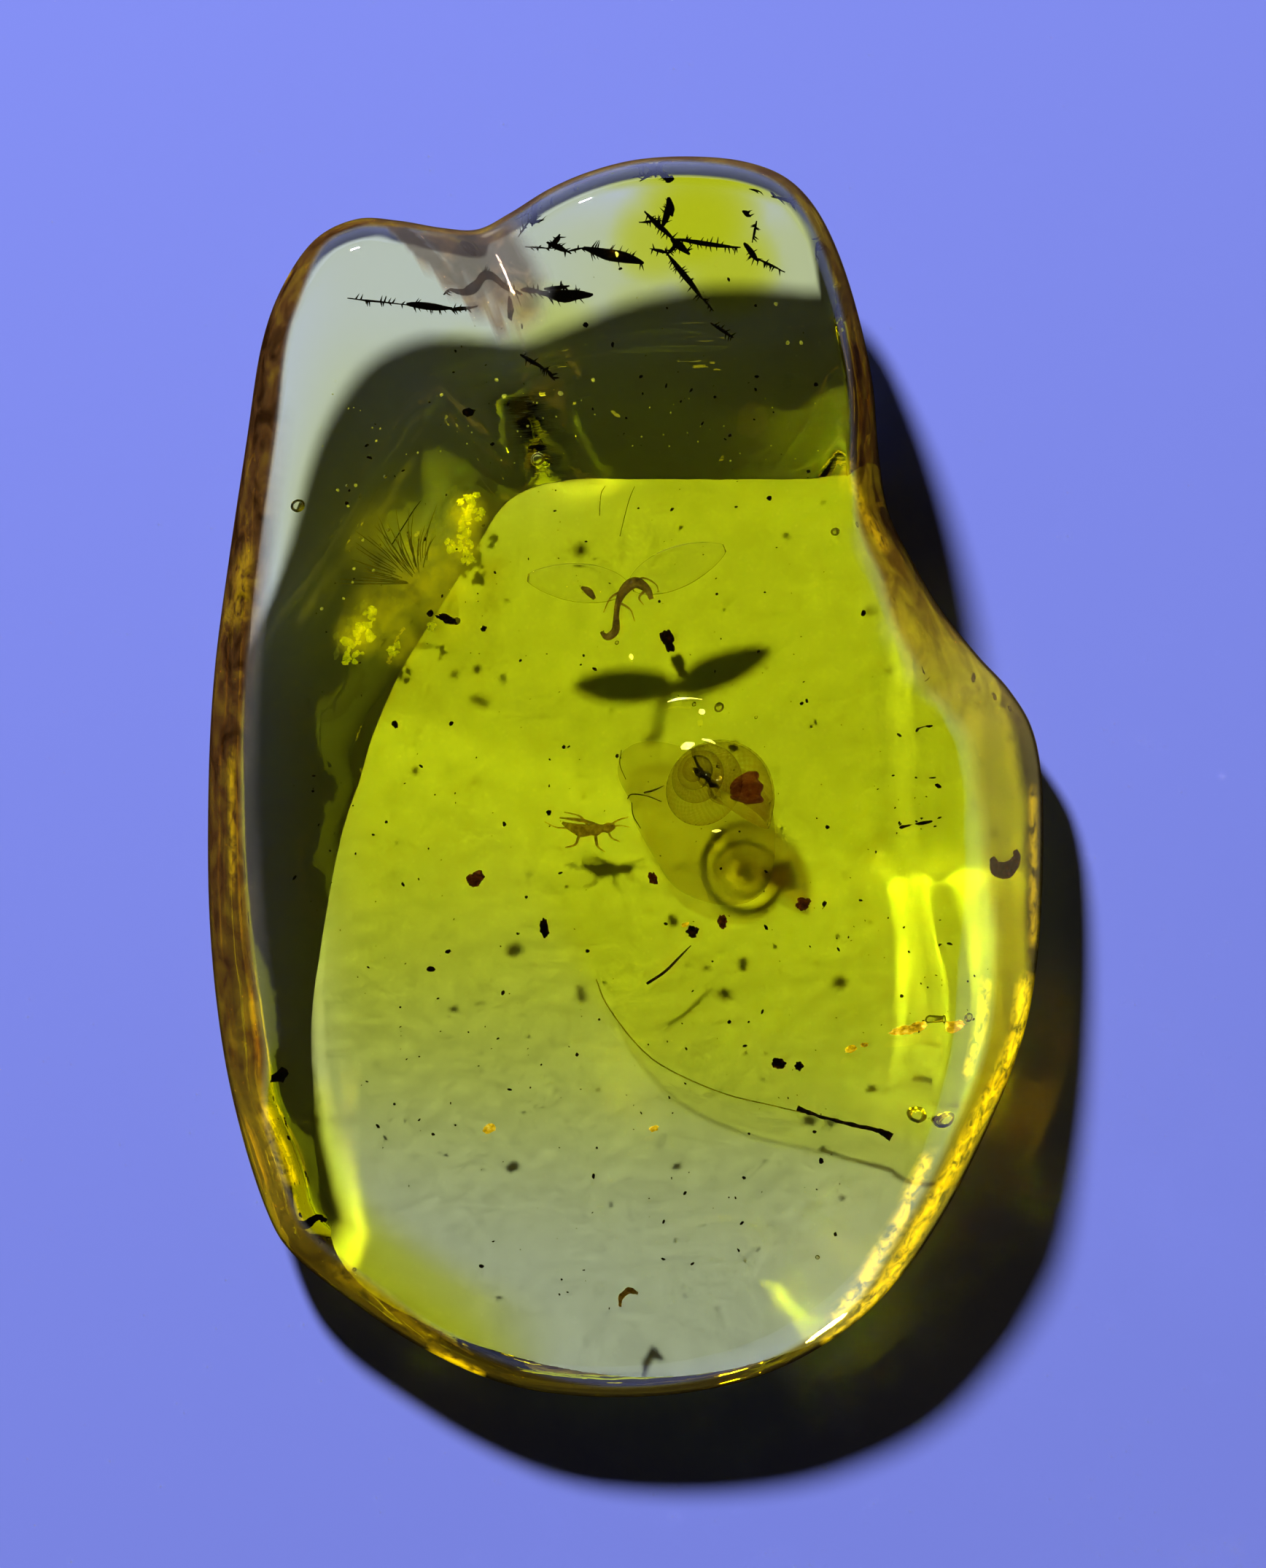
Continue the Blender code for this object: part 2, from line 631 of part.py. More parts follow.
def litter(seal, bark_material, husk_material, collection):
    """Curled frass, a seed coat, a bud scale, a plant fibre and the larger angular chips."""
    curls = {
        "curled_frass": [
            (12.35, -2.65, 3.6, 0.20), (12.5, -3.0, 3.6, 0.28), (12.9, -3.05, 3.6, 0.30),
            (13.2, -2.7, 3.6, 0.24), (13.15, -2.4, 3.6, 0.16),
        ],
        "seed_coat": [
            (-0.2, -17.85, 2.9, 0.06), (-0.15, -17.5, 2.9, 0.10), (0.1, -17.3, 2.9, 0.12),
            (0.4, -17.4, 2.9, 0.07),
        ],
        "bud_scale": [
            (-11.35, -14.9, 2.9, 0.07), (-10.9, -15.1, 2.9, 0.15), (-10.5, -14.85, 2.9, 0.10),
            (-10.15, -14.95, 2.9, 0.06),
        ],
        "plant_fibre": [
            (5.8, -11.1, 3.2, 0.12), (6.6, -11.4, 3.2, 0.07), (7.6, -11.65, 3.2, 0.08),
            (8.5, -11.85, 3.2, 0.11), (9.0, -12.1, 3.2, 0.16),
        ],
    }  # fmt: skip
    pieces = []
    for name, chain in curls.items():
        material = husk_material if name == "seed_coat" else bark_material
        pieces.append(limb(name, chain, seal, material, collection, levels=1))
    chips = [
        ((1.42, 4.72, 1.5), (0.36, 0.62, 0.3)),
        ((-2.75, -5.0, 4.9), (0.28, 0.58, 0.3)),
        ((-5.07, -3.34, 5.1), (0.55, 0.45, 0.3)),
        ((2.25, -5.12, 4.45), (0.36, 0.34, 0.3)),
        ((3.26, -4.8, 2.9), (0.25, 0.42, 0.25)),
        ((5.95, -4.17, 5.4), (0.45, 0.35, 0.3)),
        ((0.91, -3.33, 2.8), (0.24, 0.4, 0.25)),
        ((5.15, -9.56, 4.4), (0.42, 0.36, 0.3)),
        ((5.84, -9.66, 4.4), (0.26, 0.3, 0.25)),
        ((-6.05, 5.4, 4.6), (0.6, 0.25, 0.25)),
    ]
    for number, (seen_at, size) in enumerate(chips, 1):
        name = f"bark_chip_{number}"
        pieces.append(chip(name, seal(*seen_at), size, number, bark_material, collection))
    return pieces


def main():
    """Builds the nugget's two halves and everything sealed between them."""
    for old in list(bpy.data.objects):
        bpy.data.objects.remove(old)
    collection = bpy.data.collections.new("snail_in_amber")
    pockets = bpy.data.collections.new("pocket_cutters")
    guides = bpy.data.collections.new("guides")
    for group in (collection, pockets, guides):
        bpy.context.scene.collection.children.link(group)
    amber = finish_named("amber", (0.86, 0.62, 0.04), 0.04, transmission=1.0)
    shell = finish_named("shell", (0.46, 0.40, 0.16), 0.22)
    flesh = finish_named("dried_body", (0.20, 0.06, 0.02), 0.5)
    chitin = finish_named("chitin", (0.03, 0.03, 0.015), 0.3)
    membrane = finish_named("membrane", (0.16, 0.13, 0.04), 0.3)
    bark = finish_named("bark", (0.05, 0.02, 0.012), 0.6)
    husk = finish_named("husk", (0.42, 0.22, 0.04), 0.4)

    whole = amber_whole()
    seal = line_of_sight(whole)
    sealed = snail(seal, shell, flesh, collection, guides)
    sealed += insect_legs(seal, chitin, collection, guides)
    sealed.append(gnat(seal, membrane, collection, guides))
    sealed.append(bark_louse(seal, membrane, collection, guides))
    sealed += litter(seal, bark, husk, collection)
    for piece in sealed:
        if piece.name != "snail_body":
            pocket_round(piece, pockets)
    amber_half("amber_upper", whole, True, amber, collection, pockets)
    amber_half("amber_lower", whole, False, amber, collection, pockets)
    guides.hide_render = True
    pockets.hide_render = True


main()
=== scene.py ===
"""Looks of a snail and other forest litter sealed in a polished nugget of amber.

One clear nugget stands for the two packed halves, and finer pieces stand for what they seal.
Lengths are in millimetres until they reach Blender, and MM turns them into metres.
"""

import logging
import math
import random
from collections.abc import Callable, Sequence
from dataclasses import dataclass, field, replace
from enum import Enum

import bmesh
import bpy
from mathutils import Matrix, Vector, noise
from mathutils.bvhtree import BVHTree
from mathutils.interpolate import poly_3d_calc
from mathutils.kdtree import KDTree

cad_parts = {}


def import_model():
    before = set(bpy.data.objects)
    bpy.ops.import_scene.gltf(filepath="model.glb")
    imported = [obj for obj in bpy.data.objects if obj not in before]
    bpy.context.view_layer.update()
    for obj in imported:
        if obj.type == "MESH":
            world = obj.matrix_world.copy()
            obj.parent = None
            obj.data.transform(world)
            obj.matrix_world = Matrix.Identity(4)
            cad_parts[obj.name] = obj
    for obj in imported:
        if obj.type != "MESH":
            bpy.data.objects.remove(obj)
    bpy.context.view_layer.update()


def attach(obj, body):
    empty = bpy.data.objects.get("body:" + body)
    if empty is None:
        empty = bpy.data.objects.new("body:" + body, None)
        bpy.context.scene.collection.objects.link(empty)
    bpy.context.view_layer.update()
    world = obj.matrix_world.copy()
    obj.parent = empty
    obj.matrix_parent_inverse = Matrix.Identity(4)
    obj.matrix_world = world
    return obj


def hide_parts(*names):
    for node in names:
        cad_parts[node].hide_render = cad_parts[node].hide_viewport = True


MM = 0.001
AMBER_IOR = 1.54
BODY = "root"
WHITE = (1.0, 1.0, 1.0, 1.0)
BLACK = (0.0, 0.0, 0.0, 1.0)

log = logging.getLogger("snail_in_amber")

Spot = tuple[float, float, float]
Joint = tuple[float, float, float, float]
Seal = Callable[[float, float, float], Vector]


# ---------------------------------------------------------------- small helpers
def smoothstep(low: float, high: float, value: float) -> float:
    """Blends from 0 below low to 1 above high.

    Args:
        low: The value where the blend begins.
        high: The value where the blend ends.
        value: The value to place between them.

    Returns:
        The share, from 0 to 1.
    """
    t = max(0.0, min(1.0, (value - low) / (high - low)))
    return t * t * (3 - 2 * t)


def linear(hex_colour: str) -> tuple[float, float, float, float]:
    """Turns an sRGB hex colour into the linear one that shaders take.

    Args:
        hex_colour: Six hex digits after a hash.

    Returns:
        Red, green, blue and an alpha of 1.
    """
    channels = []
    for start in (1, 3, 5):
        value = int(hex_colour[start : start + 2], 16) / 255
        channels.append(value / 12.92 if value <= 0.04045 else ((value + 0.055) / 1.055) ** 2.4)
    return (*channels, 1.0)


def fill(node: bpy.types.Node, inputs: dict[str | int, object]) -> None:
    """Sets a node's sockets.

    Args:
        node: The node.
        inputs: By the socket's name or number: a value, a socket to link from, or another
            node, whose first output is then linked.
    """
    for name, source in inputs.items():
        if isinstance(source, bpy.types.Node):
            source = source.outputs[0]
        if isinstance(source, bpy.types.NodeSocket):
            node.id_data.links.new(source, node.inputs[name])
        else:
            node.inputs[name].default_value = source


def add_node(
    tree: bpy.types.NodeTree,
    kind: str,
    inputs: dict[str | int, object] | None = None,
    **settings: object,
) -> bpy.types.Node:
    """Adds one shader node with its settings, its values and its incoming links.

    Args:
        tree: The node tree that gets the node.
        kind: Blender's name for the node's type, after ShaderNode.
        inputs: What its sockets are filled with.
        settings: Attributes of the node itself.

    Returns:
        The new node.
    """
    node = tree.nodes.new("ShaderNode" + kind)
    for name, value in settings.items():
        setattr(node, name, value)
    fill(node, inputs or {})
    return node


def blank_material(name: str) -> tuple[bpy.types.Material, bpy.types.NodeTree, bpy.types.Node]:
    """Makes a material with a Principled shader linked to its output.

    Args:
        name: The material's name.

    Returns:
        The material, its tree and its shader node.
    """
    material = bpy.data.materials.new(name)
    material.use_nodes = True
    tree = material.node_tree
    return material, tree, tree.nodes["Principled BSDF"]


def clear_surface(index: float, roughness: float = 0.0) -> dict[str, float]:
    """Lists what makes a shader pass light on, bent as by this index."""
    return {"Transmission Weight": 1.0, "IOR": index, "Roughness": roughness}


def set_stops(ramp: bpy.types.ColorRamp, stops: Sequence[tuple[float, str]]) -> None:
    """Sets the stops of a run of colours.

    Args:
        ramp: The run of colours.
        stops: Position and hex colour of each stop, in rising order.
    """
    while len(ramp.elements) < len(stops):
        ramp.elements.new(1.0)
    for element, (position, colour) in zip(ramp.elements, stops):
        element.position = position
        element.color = linear(colour)


def mesh_piece(name: str, bm: bmesh.types.BMesh, material: bpy.types.Material) -> bpy.types.Object:
    """Turns finished geometry in metres into a smooth, dressed piece of the object.

    Args:
        name: The piece's name.
        bm: The geometry, which is freed.
        material: The piece's material.

    Returns:
        The new object, riding on the object's one body.
    """
    mesh = bpy.data.meshes.new(name)
    bm.to_mesh(mesh)
    bm.free()
    mesh.materials.append(material)
    piece = bpy.data.objects.new(name, mesh)
    bpy.context.scene.collection.objects.link(piece)
    for face in mesh.polygons:
        face.use_smooth = True
    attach(piece, BODY)
    log.info("%s: %d faces", name, len(mesh.polygons))
    return piece


def rounded(points: Sequence[Sequence[float]], steps: int) -> list[Vector]:
    """Runs a Catmull-Rom curve through an open chain of points of any length.

    Args:
        points: The points to pass through.
        steps: How many pieces each link is cut into.

    Returns:
        The denser chain, ends included.
    """
    spots = [Vector(p) for p in points]
    spots = [spots[0] * 2 - spots[1], *spots, spots[-1] * 2 - spots[-2]]
    chain = []
    for a, b, c, d in zip(spots, spots[1:], spots[2:], spots[3:]):
        for step in range(steps):
            t = step / steps
            chain.append(
                0.5
                * (
                    2 * b
                    + (c - a) * t
                    + (2 * a - 5 * b + 4 * c - d) * t**2
                    + (3 * b - a - 3 * c + d) * t**3
                )
            )
    chain.append(spots[-2])
    return chain


def join_rings(
    bm: bmesh.types.BMesh, rings: Sequence[Sequence[bmesh.types.BMVert]], capped: bool = False
) -> None:
    """Joins each closed ring of vertices to the next one, and closes both ends if capped."""
    for low, high in zip(rings, rings[1:]):
        for k, corner in enumerate(low):
            j = (k + 1) % len(low)
            bm.faces.new((corner, low[j], high[j], high[k]))
    if capped:
        bm.faces.new(rings[0][::-1])
        bm.faces.new(rings[-1])


def add_tube(
    bm: bmesh.types.BMesh, joints: Sequence[Joint], sides: int = 8, steps: int = 4
) -> None:
    """Adds a closed, tapering tube along a chain of joints.

    Args:
        bm: The geometry that gets the tube, in metres.
        joints: Points and radii in millimetres.
        sides: Faces round the tube.
        steps: Rings for each link of the chain.
    """
    chain = rounded(joints, steps)
    spots = [p.xyz for p in chain]
    rings = []
    side = None
    for i, point in enumerate(chain):
        ahead = (spots[min(i + 1, len(spots) - 1)] - spots[max(i - 1, 0)]).normalized()
        if side is None:
            side = ahead.orthogonal().normalized()
        side = (side - ahead * side.dot(ahead)).normalized()
        other = ahead.cross(side)
        radius = max(point[3], 0.004)
        ring = []
        for k in range(sides):
            angle = 2 * math.pi * k / sides
            out = side * math.cos(angle) + other * math.sin(angle)
            ring.append(bm.verts.new((spots[i] + out * radius) * MM))
        rings.append(ring)
    join_rings(bm, rings, capped=True)


def add_sealed_tube(
    bm: bmesh.types.BMesh, seal: Seal, chain: Sequence[Joint], sides: int, steps: int
) -> None:
    """Adds a tube whose joints are given where they are seen from straight above.

    Args:
        bm: The geometry that gets the tube, in metres.
        seal: Places what is seen from above.
        chain: Points as seen and radii, in millimetres.
        sides: Faces round the tube.
        steps: Rings for each link of the chain.
    """
    add_tube(bm, [(*seal(x, y, z), radius) for x, y, z, radius in chain], sides, steps)


def add_blob(
    bm: bmesh.types.BMesh,
    middle: Vector,
    size: Spot,
    turn: Matrix,
    roughness: float,
    seed: int,
    detail: int = 2,
) -> None:
    """Adds a lumpy closed blob.

    Args:
        bm: The geometry that gets the blob, in metres.
        middle: The blob's middle in millimetres.
        size: Its length, width and height in millimetres.
        turn: The rotation of its axes.
        roughness: How lumpy it is, 0 for a smooth ellipsoid.
        seed: Picks the lumps.
        detail: Subdivisions of the icosphere it starts from.
    """
    grown = bmesh.ops.create_icosphere(bm, subdivisions=detail, radius=0.5)
    for vertex in grown["verts"]:
        way = vertex.co.normalized()
        lump = noise.noise(way * 1.6 + Vector((seed * 7.1, seed * 3.3, 0)))
        crag = noise.noise(way * 4.1 + Vector((0, seed * 5.7, seed * 2.9)))
        vertex.co *= 1 + roughness * (lump + 0.45 * crag)
        vertex.co = turn @ Vector([c * s for c, s in zip(vertex.co, size)])
        vertex.co = (middle + vertex.co) * MM


# ---------------------------------------------------------------- finishes
class Slot(Enum):
    """The record's material slots."""

    AMBER = "amber"
    SHELL = "shell"
    DRIED_BODY = "dried_body"
    CHITIN = "chitin"
    MEMBRANE = "membrane"
    BARK = "bark"
    HUSK = "husk"


@dataclass(frozen=True)
class PolishedAmber:
    """Fossil resin, ground and polished: clear and wet-looking, with the marks of the polishing.

    The resin takes a little blue light away, so thin parts look pale and thick parts yellow.
    """

    absorbed: tuple[float, float, float, float] = (0.998, 1.0, 0.0, 1.0)
    cast: str = "#FFFFFF"
    density: float = 120.0  # per metre, in the channel that is absorbed most
    polish_mm: float = 2.4  # spacing of the slow waves that hand polishing leaves
    polish_strength: float = 0.06
    scratch_mm: float = 0.35  # real scratches are finer, and are drawn wide enough to show

    def material(self) -> bpy.types.Material:
        """Builds the glassy surface, its waves and scratches, and the plain absorption."""
        material, tree, shader = blank_material("polished_amber")
        place = add_node(tree, "TexCoord").outputs["Object"]
        waves = add_node(
            tree,
            "TexNoise",
            {"Scale": 1 / (self.polish_mm * MM), "Detail": 2.0, "Vector": place},
        )
        turn = {"Rotation": (0, 0, math.radians(-38)), "Scale": (0.12, 1.0, 1.0)}
        lie = add_node(tree, "Mapping", {**turn, "Vector": place})
        grain = {"Scale": 1 / (self.scratch_mm * MM), "Detail": 3.0, "Roughness": 0.7}
        scratches = add_node(tree, "TexNoise", {**grain, "Vector": lie})
        scored = add_node(
            tree, "Bump", {"Strength": 0.05, "Distance": 0.02 * MM, "Height": scratches}
        )
        relief = {"Strength": self.polish_strength, "Distance": 0.25 * MM}
        waved = add_node(tree, "Bump", {**relief, "Height": waves, "Normal": scored})
        inside = add_node(
            tree, "VolumeAbsorption", {"Color": self.absorbed, "Density": self.density}
        )
        fill(shader, {"Base Color": linear(self.cast), "Normal": waved, **clear_surface(AMBER_IOR)})
        fill(tree.nodes["Material Output"], {"Volume": inside})
        return material


@dataclass(frozen=True)
class WeatheredRindAndPaintedGleam:
    """The oxidised skin that polishing left on the rim: brown to golden, a little cloudy.

    Its gleams are painted light: a streaky emission that stands in for sun caught inside the clear
    nugget leaving through this skin.
    """

    deep: str = "#5E3C1C"
    brown: str = "#9A6E3C"
    # Golden is partly the rind's own colour and partly painted light, where the rim passes on sun.
    golden: str = "#EFD040"
    edge: str = "#54381E"
    painted_gleam: str = "#FFDC00"
    cloudiness: float = 0.13  # how much of the light the thickest rind scatters
    patch_mm: float = 1.3  # from one golden patch to the next
    streak_mm: float = 0.5  # from one break in a painted gleam to the next
    painted_glow: float = 0.6

    def material(self) -> bpy.types.Material:
        """Builds the skin and its painted gleam from the four measures stored on the mesh."""
        material, tree, shader = blank_material("weathered_amber_rind_and_painted_gleam")
        place = add_node(tree, "TexCoord").outputs["Object"]
        kept, gold, edge, painted_gleam = (
            add_node(tree, "Attribute", attribute_name=name).outputs["Fac"]
            for name in ("rind", "gold", "edge", "painted_gleam")
        )
        blots = {"Detail": 4.0, "Roughness": 0.6, "Distortion": 0.6, "Vector": place}
        patchy, streaky = (
            add_node(tree, "TexNoise", {"Scale": 1 / (size * MM), **blots})
            for size in (self.patch_mm, self.streak_mm)
        )
        lean = add_node(tree, "Math", {0: patchy, 1: 1.1, 2: gold}, operation="MULTIPLY_ADD")
        stain = add_node(tree, "ValToRGB", {"Fac": lean})
        set_stops(stain.color_ramp, [(0.3, self.deep), (0.47, self.brown), (0.95, self.golden)])
        tint = add_node(tree, "Mix", {"Factor": kept, 6: WHITE, 7: stain}, data_type="RGBA")
        lined = add_node(
            tree,
            "Mix",
            {"Factor": edge, 6: tint.outputs[2], 7: linear(self.edge)},
            data_type="RGBA",
        )
        clarity = add_node(
            tree, "Math", {0: kept, 1: -self.cloudiness, 2: 1.0}, operation="MULTIPLY_ADD"
        )
        broken = add_node(tree, "MapRange", {"From Min": 0.36, "From Max": 0.6, "Value": streaky})
        # Painted light: the gleam glows in broken streaks, in place of sun leaving the rim.
        painted_light_mask = add_node(tree, "Math", {0: painted_gleam, 1: broken}, operation="MULTIPLY")
        painted_glow = add_node(
            tree, "Mix", {"Factor": painted_light_mask, 6: BLACK, 7: linear(self.painted_gleam)}, data_type="RGBA"
        )
        fill(shader, {"Base Color": lined.outputs[2], **clear_surface(1.0)})
        fill(shader, {"Transmission Weight": clarity, "Emission Color": painted_glow.outputs[2]})
        fill(shader, {"Emission Strength": self.painted_glow})
        return material


@dataclass(frozen=True)
class RicherResin:
    """The stained skin of an earlier flow of resin, joined to the rest with no gap to see."""

    absorbed: tuple[float, float, float, float] = (0.985, 0.985, 0.0, 1.0)
    density: float = 4600.0  # per metre, in the channel that is absorbed most

    def material(self) -> bpy.types.Material:
        """Builds a surface that doesn't bend light, round a stronger plain absorption."""
        material, tree, shader = blank_material("richer_resin_flow")
        inside = add_node(
            tree, "VolumeAbsorption", {"Color": self.absorbed, "Density": self.density}
        )
        fill(shader, {"Base Color": WHITE, **clear_surface(1.0)})
        fill(tree.nodes["Material Output"], {"Volume": inside})
        return material


@dataclass(frozen=True)
class HazeWithPaintedGlow:
    """Resin clouded by bubbles too small to see, with a painted glow in clumps for the sun they
    catch.
    """

    name: str = "resin_haze_painted_glow"
    painted_glow: str = "#D2CC08"
    painted_veil: str = "#D8CC90"
    cast: str = "#FFFFFF"  # of the film away from its painted glow
    strength: float = 0.42
    clump_mm: float = 0.5

    def material(self) -> bpy.types.Material:
        """Builds a clear film with a painted glow in clumps, as much as is stored on the mesh."""
        material, tree, shader = blank_material(self.name)
        place = add_node(tree, "TexCoord").outputs["Object"]
        painted_glow_mask = add_node(tree, "Attribute", attribute_name="painted_glow").outputs["Fac"]
        grain = {"Scale": 1 / (self.clump_mm * MM), "Detail": 4.0, "Roughness": 0.65}
        clumps = add_node(tree, "TexNoise", {**grain, "Vector": place})
        broken = add_node(
            tree, "MapRange", {"From Min": 0.3, "From Max": 0.62, "To Min": 0.35, "Value": clumps}
        )
        painted_light_mask = add_node(tree, "Math", {0: painted_glow_mask, 1: broken}, operation="MULTIPLY")
        painted_glow, painted_veil = (
            add_node(
                tree, "Mix", {"Factor": painted_light_mask, 6: resting, 7: linear(painted_lit_colour)}, data_type="RGBA"
            ).outputs[2]
            for resting, painted_lit_colour in ((BLACK, self.painted_glow), (linear(self.cast), self.painted_veil))
        )
        fill(shader, {"Base Color": painted_veil, **clear_surface(1.0)})
        fill(shader, {"Emission Color": painted_glow, "Emission Strength": self.strength})
        return material


@dataclass(frozen=True)
class GasFilm:
    """A thin film of gas in the amber, such as a wing's or a crack's: clear, with bright edges.

    Its mesh faces inwards, so light meets it as it leaves amber for air.
    """

    name: str = "gas_film"
    tint: str = "#F4F2DC"

    def material(self) -> bpy.types.Material:
        """Builds a smooth clear surface with amber's index."""
        material, _, shader = blank_material(self.name)
        fill(shader, {"Base Color": linear(self.tint), **clear_surface(AMBER_IOR, 0.03)})
        return material


@dataclass(frozen=True)
class HornyShell:
    """A small land snail's shell: thin, see-through horn with fine growth lines.

    In amber it hardly bends light, so its whorls show as edges, streaks and a faint olive cast.
    """

    pale: str = "#FEFCF0"
    streak: str = "#E4DDB8"
    stain: str = "#C89A60"
    edge_on: str = "#C8BC70"  # where the thin wall is seen edge on
    growth_lines: float = 46.0  # to a whorl
    cloud_mm: float = 0.5

    def material(self) -> bpy.types.Material:
        """Builds the shell from its growth coordinate, stored on the mesh in whorls."""
        material, tree, shader = blank_material("thin_horny_shell")
        grown = add_node(tree, "Attribute", attribute_name="growth").outputs["Fac"]
        place = add_node(tree, "TexCoord").outputs["Object"]
        cloud = add_node(
            tree, "TexNoise", {"Scale": 1 / (self.cloud_mm * MM), "Detail": 3.0, "Vector": place}
        )
        turned = add_node(
            tree, "Math", {0: grown, 1: self.growth_lines * 2 * math.pi}, operation="MULTIPLY"
        )
        swayed = add_node(tree, "Math", {0: cloud, 1: 9.0, 2: turned}, operation="MULTIPLY_ADD")
        lines = add_node(tree, "Math", {0: swayed}, operation="SINE")
        ridge = add_node(tree, "Bump", {"Strength": 0.35, "Distance": 0.02 * MM, "Height": lines})
        streaked = add_node(tree, "Math", {0: lines, 1: 0.25, 2: 0.5}, operation="MULTIPLY_ADD")
        lip = {"From Min": 0.02, "From Max": 0.3, "To Min": 0.8, "To Max": 0.0}
        near_lip = add_node(tree, "MapRange", {**lip, "Value": grown})
        stained = add_node(tree, "Math", {0: near_lip, 1: cloud}, operation="MULTIPLY")
        edge_on = add_node(tree, "LayerWeight", {"Blend": 0.32}).outputs["Facing"]
        colour: object = linear(self.pale)
        for share, over in (
            (streaked, self.streak), (stained, self.stain), (edge_on, self.edge_on)
        ):  # fmt: skip
            layers = {"Factor": share, 6: colour, 7: linear(over)}
            colour = add_node(tree, "Mix", layers, data_type="RGBA").outputs[2]
        # Its index is measured against the amber round it, not against air.
        fill(shader, {"Base Color": colour, "Normal": ridge, **clear_surface(1.01, 0.12)})
        fill(shader, {"Coat Weight": 0.06, "Coat Roughness": 0.05})
        return material


@dataclass(frozen=True)
class Litter:
    """A dry organic surface with mottled colour, a crumbled or wrinkled relief and, where set, a
    painted glow.
    """

    name: str
    dark: str
    mid: str
    light: str
    grain_mm: float
    relief_mm: float
    roughness: float
    gloss: float = 0.0
    clear: float = 0.0
    painted_glow: float = 0.0  # painted glow: emission in place of the sun that it would catch

    def material(self) -> bpy.types.Material:
        """Builds the mottled colour, the matching relief and any painted glow."""
        material, tree, shader = blank_material(self.name)
        place = add_node(tree, "TexCoord").outputs["Object"]
        grain = {"Scale": 1 / (self.grain_mm * MM), "Detail": 5.0, "Roughness": 0.65}
        mottle = add_node(tree, "TexNoise", {**grain, "Vector": place})
        colour = add_node(tree, "ValToRGB", {"Fac": mottle})
        set_stops(colour.color_ramp, [(0.3, self.dark), (0.52, self.mid), (0.74, self.light)])
        relief = add_node(
            tree, "Bump", {"Strength": 0.8, "Distance": self.relief_mm * MM, "Height": mottle}
        )
        ends = {"To Min": self.roughness - 0.12, "To Max": self.roughness + 0.12}
        rough = add_node(tree, "MapRange", {**ends, "Value": mottle})
        fill(shader, {"Base Color": colour, "Normal": relief, "Roughness": rough})
        # Its index is measured against the amber round it, not against air.
        fill(shader, {"IOR": 1.03, "Transmission Weight": self.clear})
        fill(shader, {"Coat Weight": self.gloss, "Coat IOR": 1.15, "Coat Roughness": 0.12})
        # Painted light: the mottled colour glows as if lit by the sun.
        if self.painted_glow:
            fill(shader, {"Emission Color": colour, "Emission Strength": self.painted_glow})
        return material


# A tenth value, where given, is a painted glow: emission that stands in for sun caught inside the
# amber.
DRIED_BODY = Litter(
    "dried_snail_flesh", "#5A280A", "#8E5018", "#BC8830", 0.3, 0.05, 0.5, 0.1, 0.75, 0.1
)
CHITIN = Litter("dark_chitin", "#070602", "#151005", "#3A2A0C", 0.25, 0.02, 0.35, 0.4)
GNAT_SKIN = Litter(
    "thin_gnat_skin", "#3A2C0C", "#7A6420", "#A89438", 0.3, 0.02, 0.35, 0.4, 0.5, 0.12
)
LOUSE_SKIN = Litter(
    "straw_insect_skin", "#54420E", "#8A7826", "#B8A440", 0.2, 0.02, 0.35, 0.4, 0.4, 0.18
)
BARK = Litter("crumbled_bark", "#050302", "#140A05", "#3C2210", 0.18, 0.05, 0.65)
BROWN_BARK = Litter("brown_bark", "#1A0C04", "#4A240C", "#8A4A16", 0.16, 0.05, 0.6, 0.0, 0.0, 0.1)
HUSK = Litter("golden_seed_husk", "#5A3208", "#B27A1C", "#F0C860", 0.15, 0.03, 0.35, 0.3, 0.3)
CLOUD = Litter(
    "cloudy_resin_foam", "#6E7A10", "#A8B020", "#E8E850", 0.3, 0.08, 0.6, 0.0, 0.45, 0.4
)
THREAD = Litter("resin_threads", "#3A3A0C", "#5A5414", "#8A8020", 0.5, 0.02, 0.6, 0.0, 0.6, 0.2)
# Its glow is a painted glint, for sun shining off the crack.
GOLD_CRACK = Litter(
    "golden_crack_film", "#6A5204", "#D8B81C", "#FFF480", 0.22, 0.05, 0.2, 0.8, 0.3, 0.5
)
PALE_SPECK = Litter(
    "pale_gas_specks", "#8A9060", "#C8CC90", "#F4F4D0", 0.3, 0.02, 0.4, 0.5, 0.3, 0.22
)
# Painted glints: small films that only glow, in place of the sun flashing off gas.
PAINTED_GLINT = Litter("painted_glint_films", "#FFE820", "#FFF480", "#FFFFF4", 0.9, 0.01, 0.2, 0.5, 0.0, 1.6)


@dataclass(frozen=True)
class PalePaper:
    """Smooth sheet paper under the nugget: matte, plain and pale.

    It gives a clear piece that lies on it more light than it shows by itself, as bright paper
    does when the exposure is held down for its sunlit face.
    """

    seen: str = "#747FDC"
    lighting: str = "#A9B4FA"

    def material(self) -> bpy.types.Material:
        """Builds the matte sheet."""
        material, tree, shader = blank_material("plain_pale_paper")
        seen = add_node(tree, "LightPath").outputs["Is Camera Ray"]
        tones = {"Factor": seen, 6: linear(self.lighting), 7: linear(self.seen)}
        tone = add_node(tree, "Mix", tones, data_type="RGBA").outputs[2]
        fill(shader, {"Base Color": tone, "Roughness": 0.85, "Specular IOR Level": 0.2})
        return material


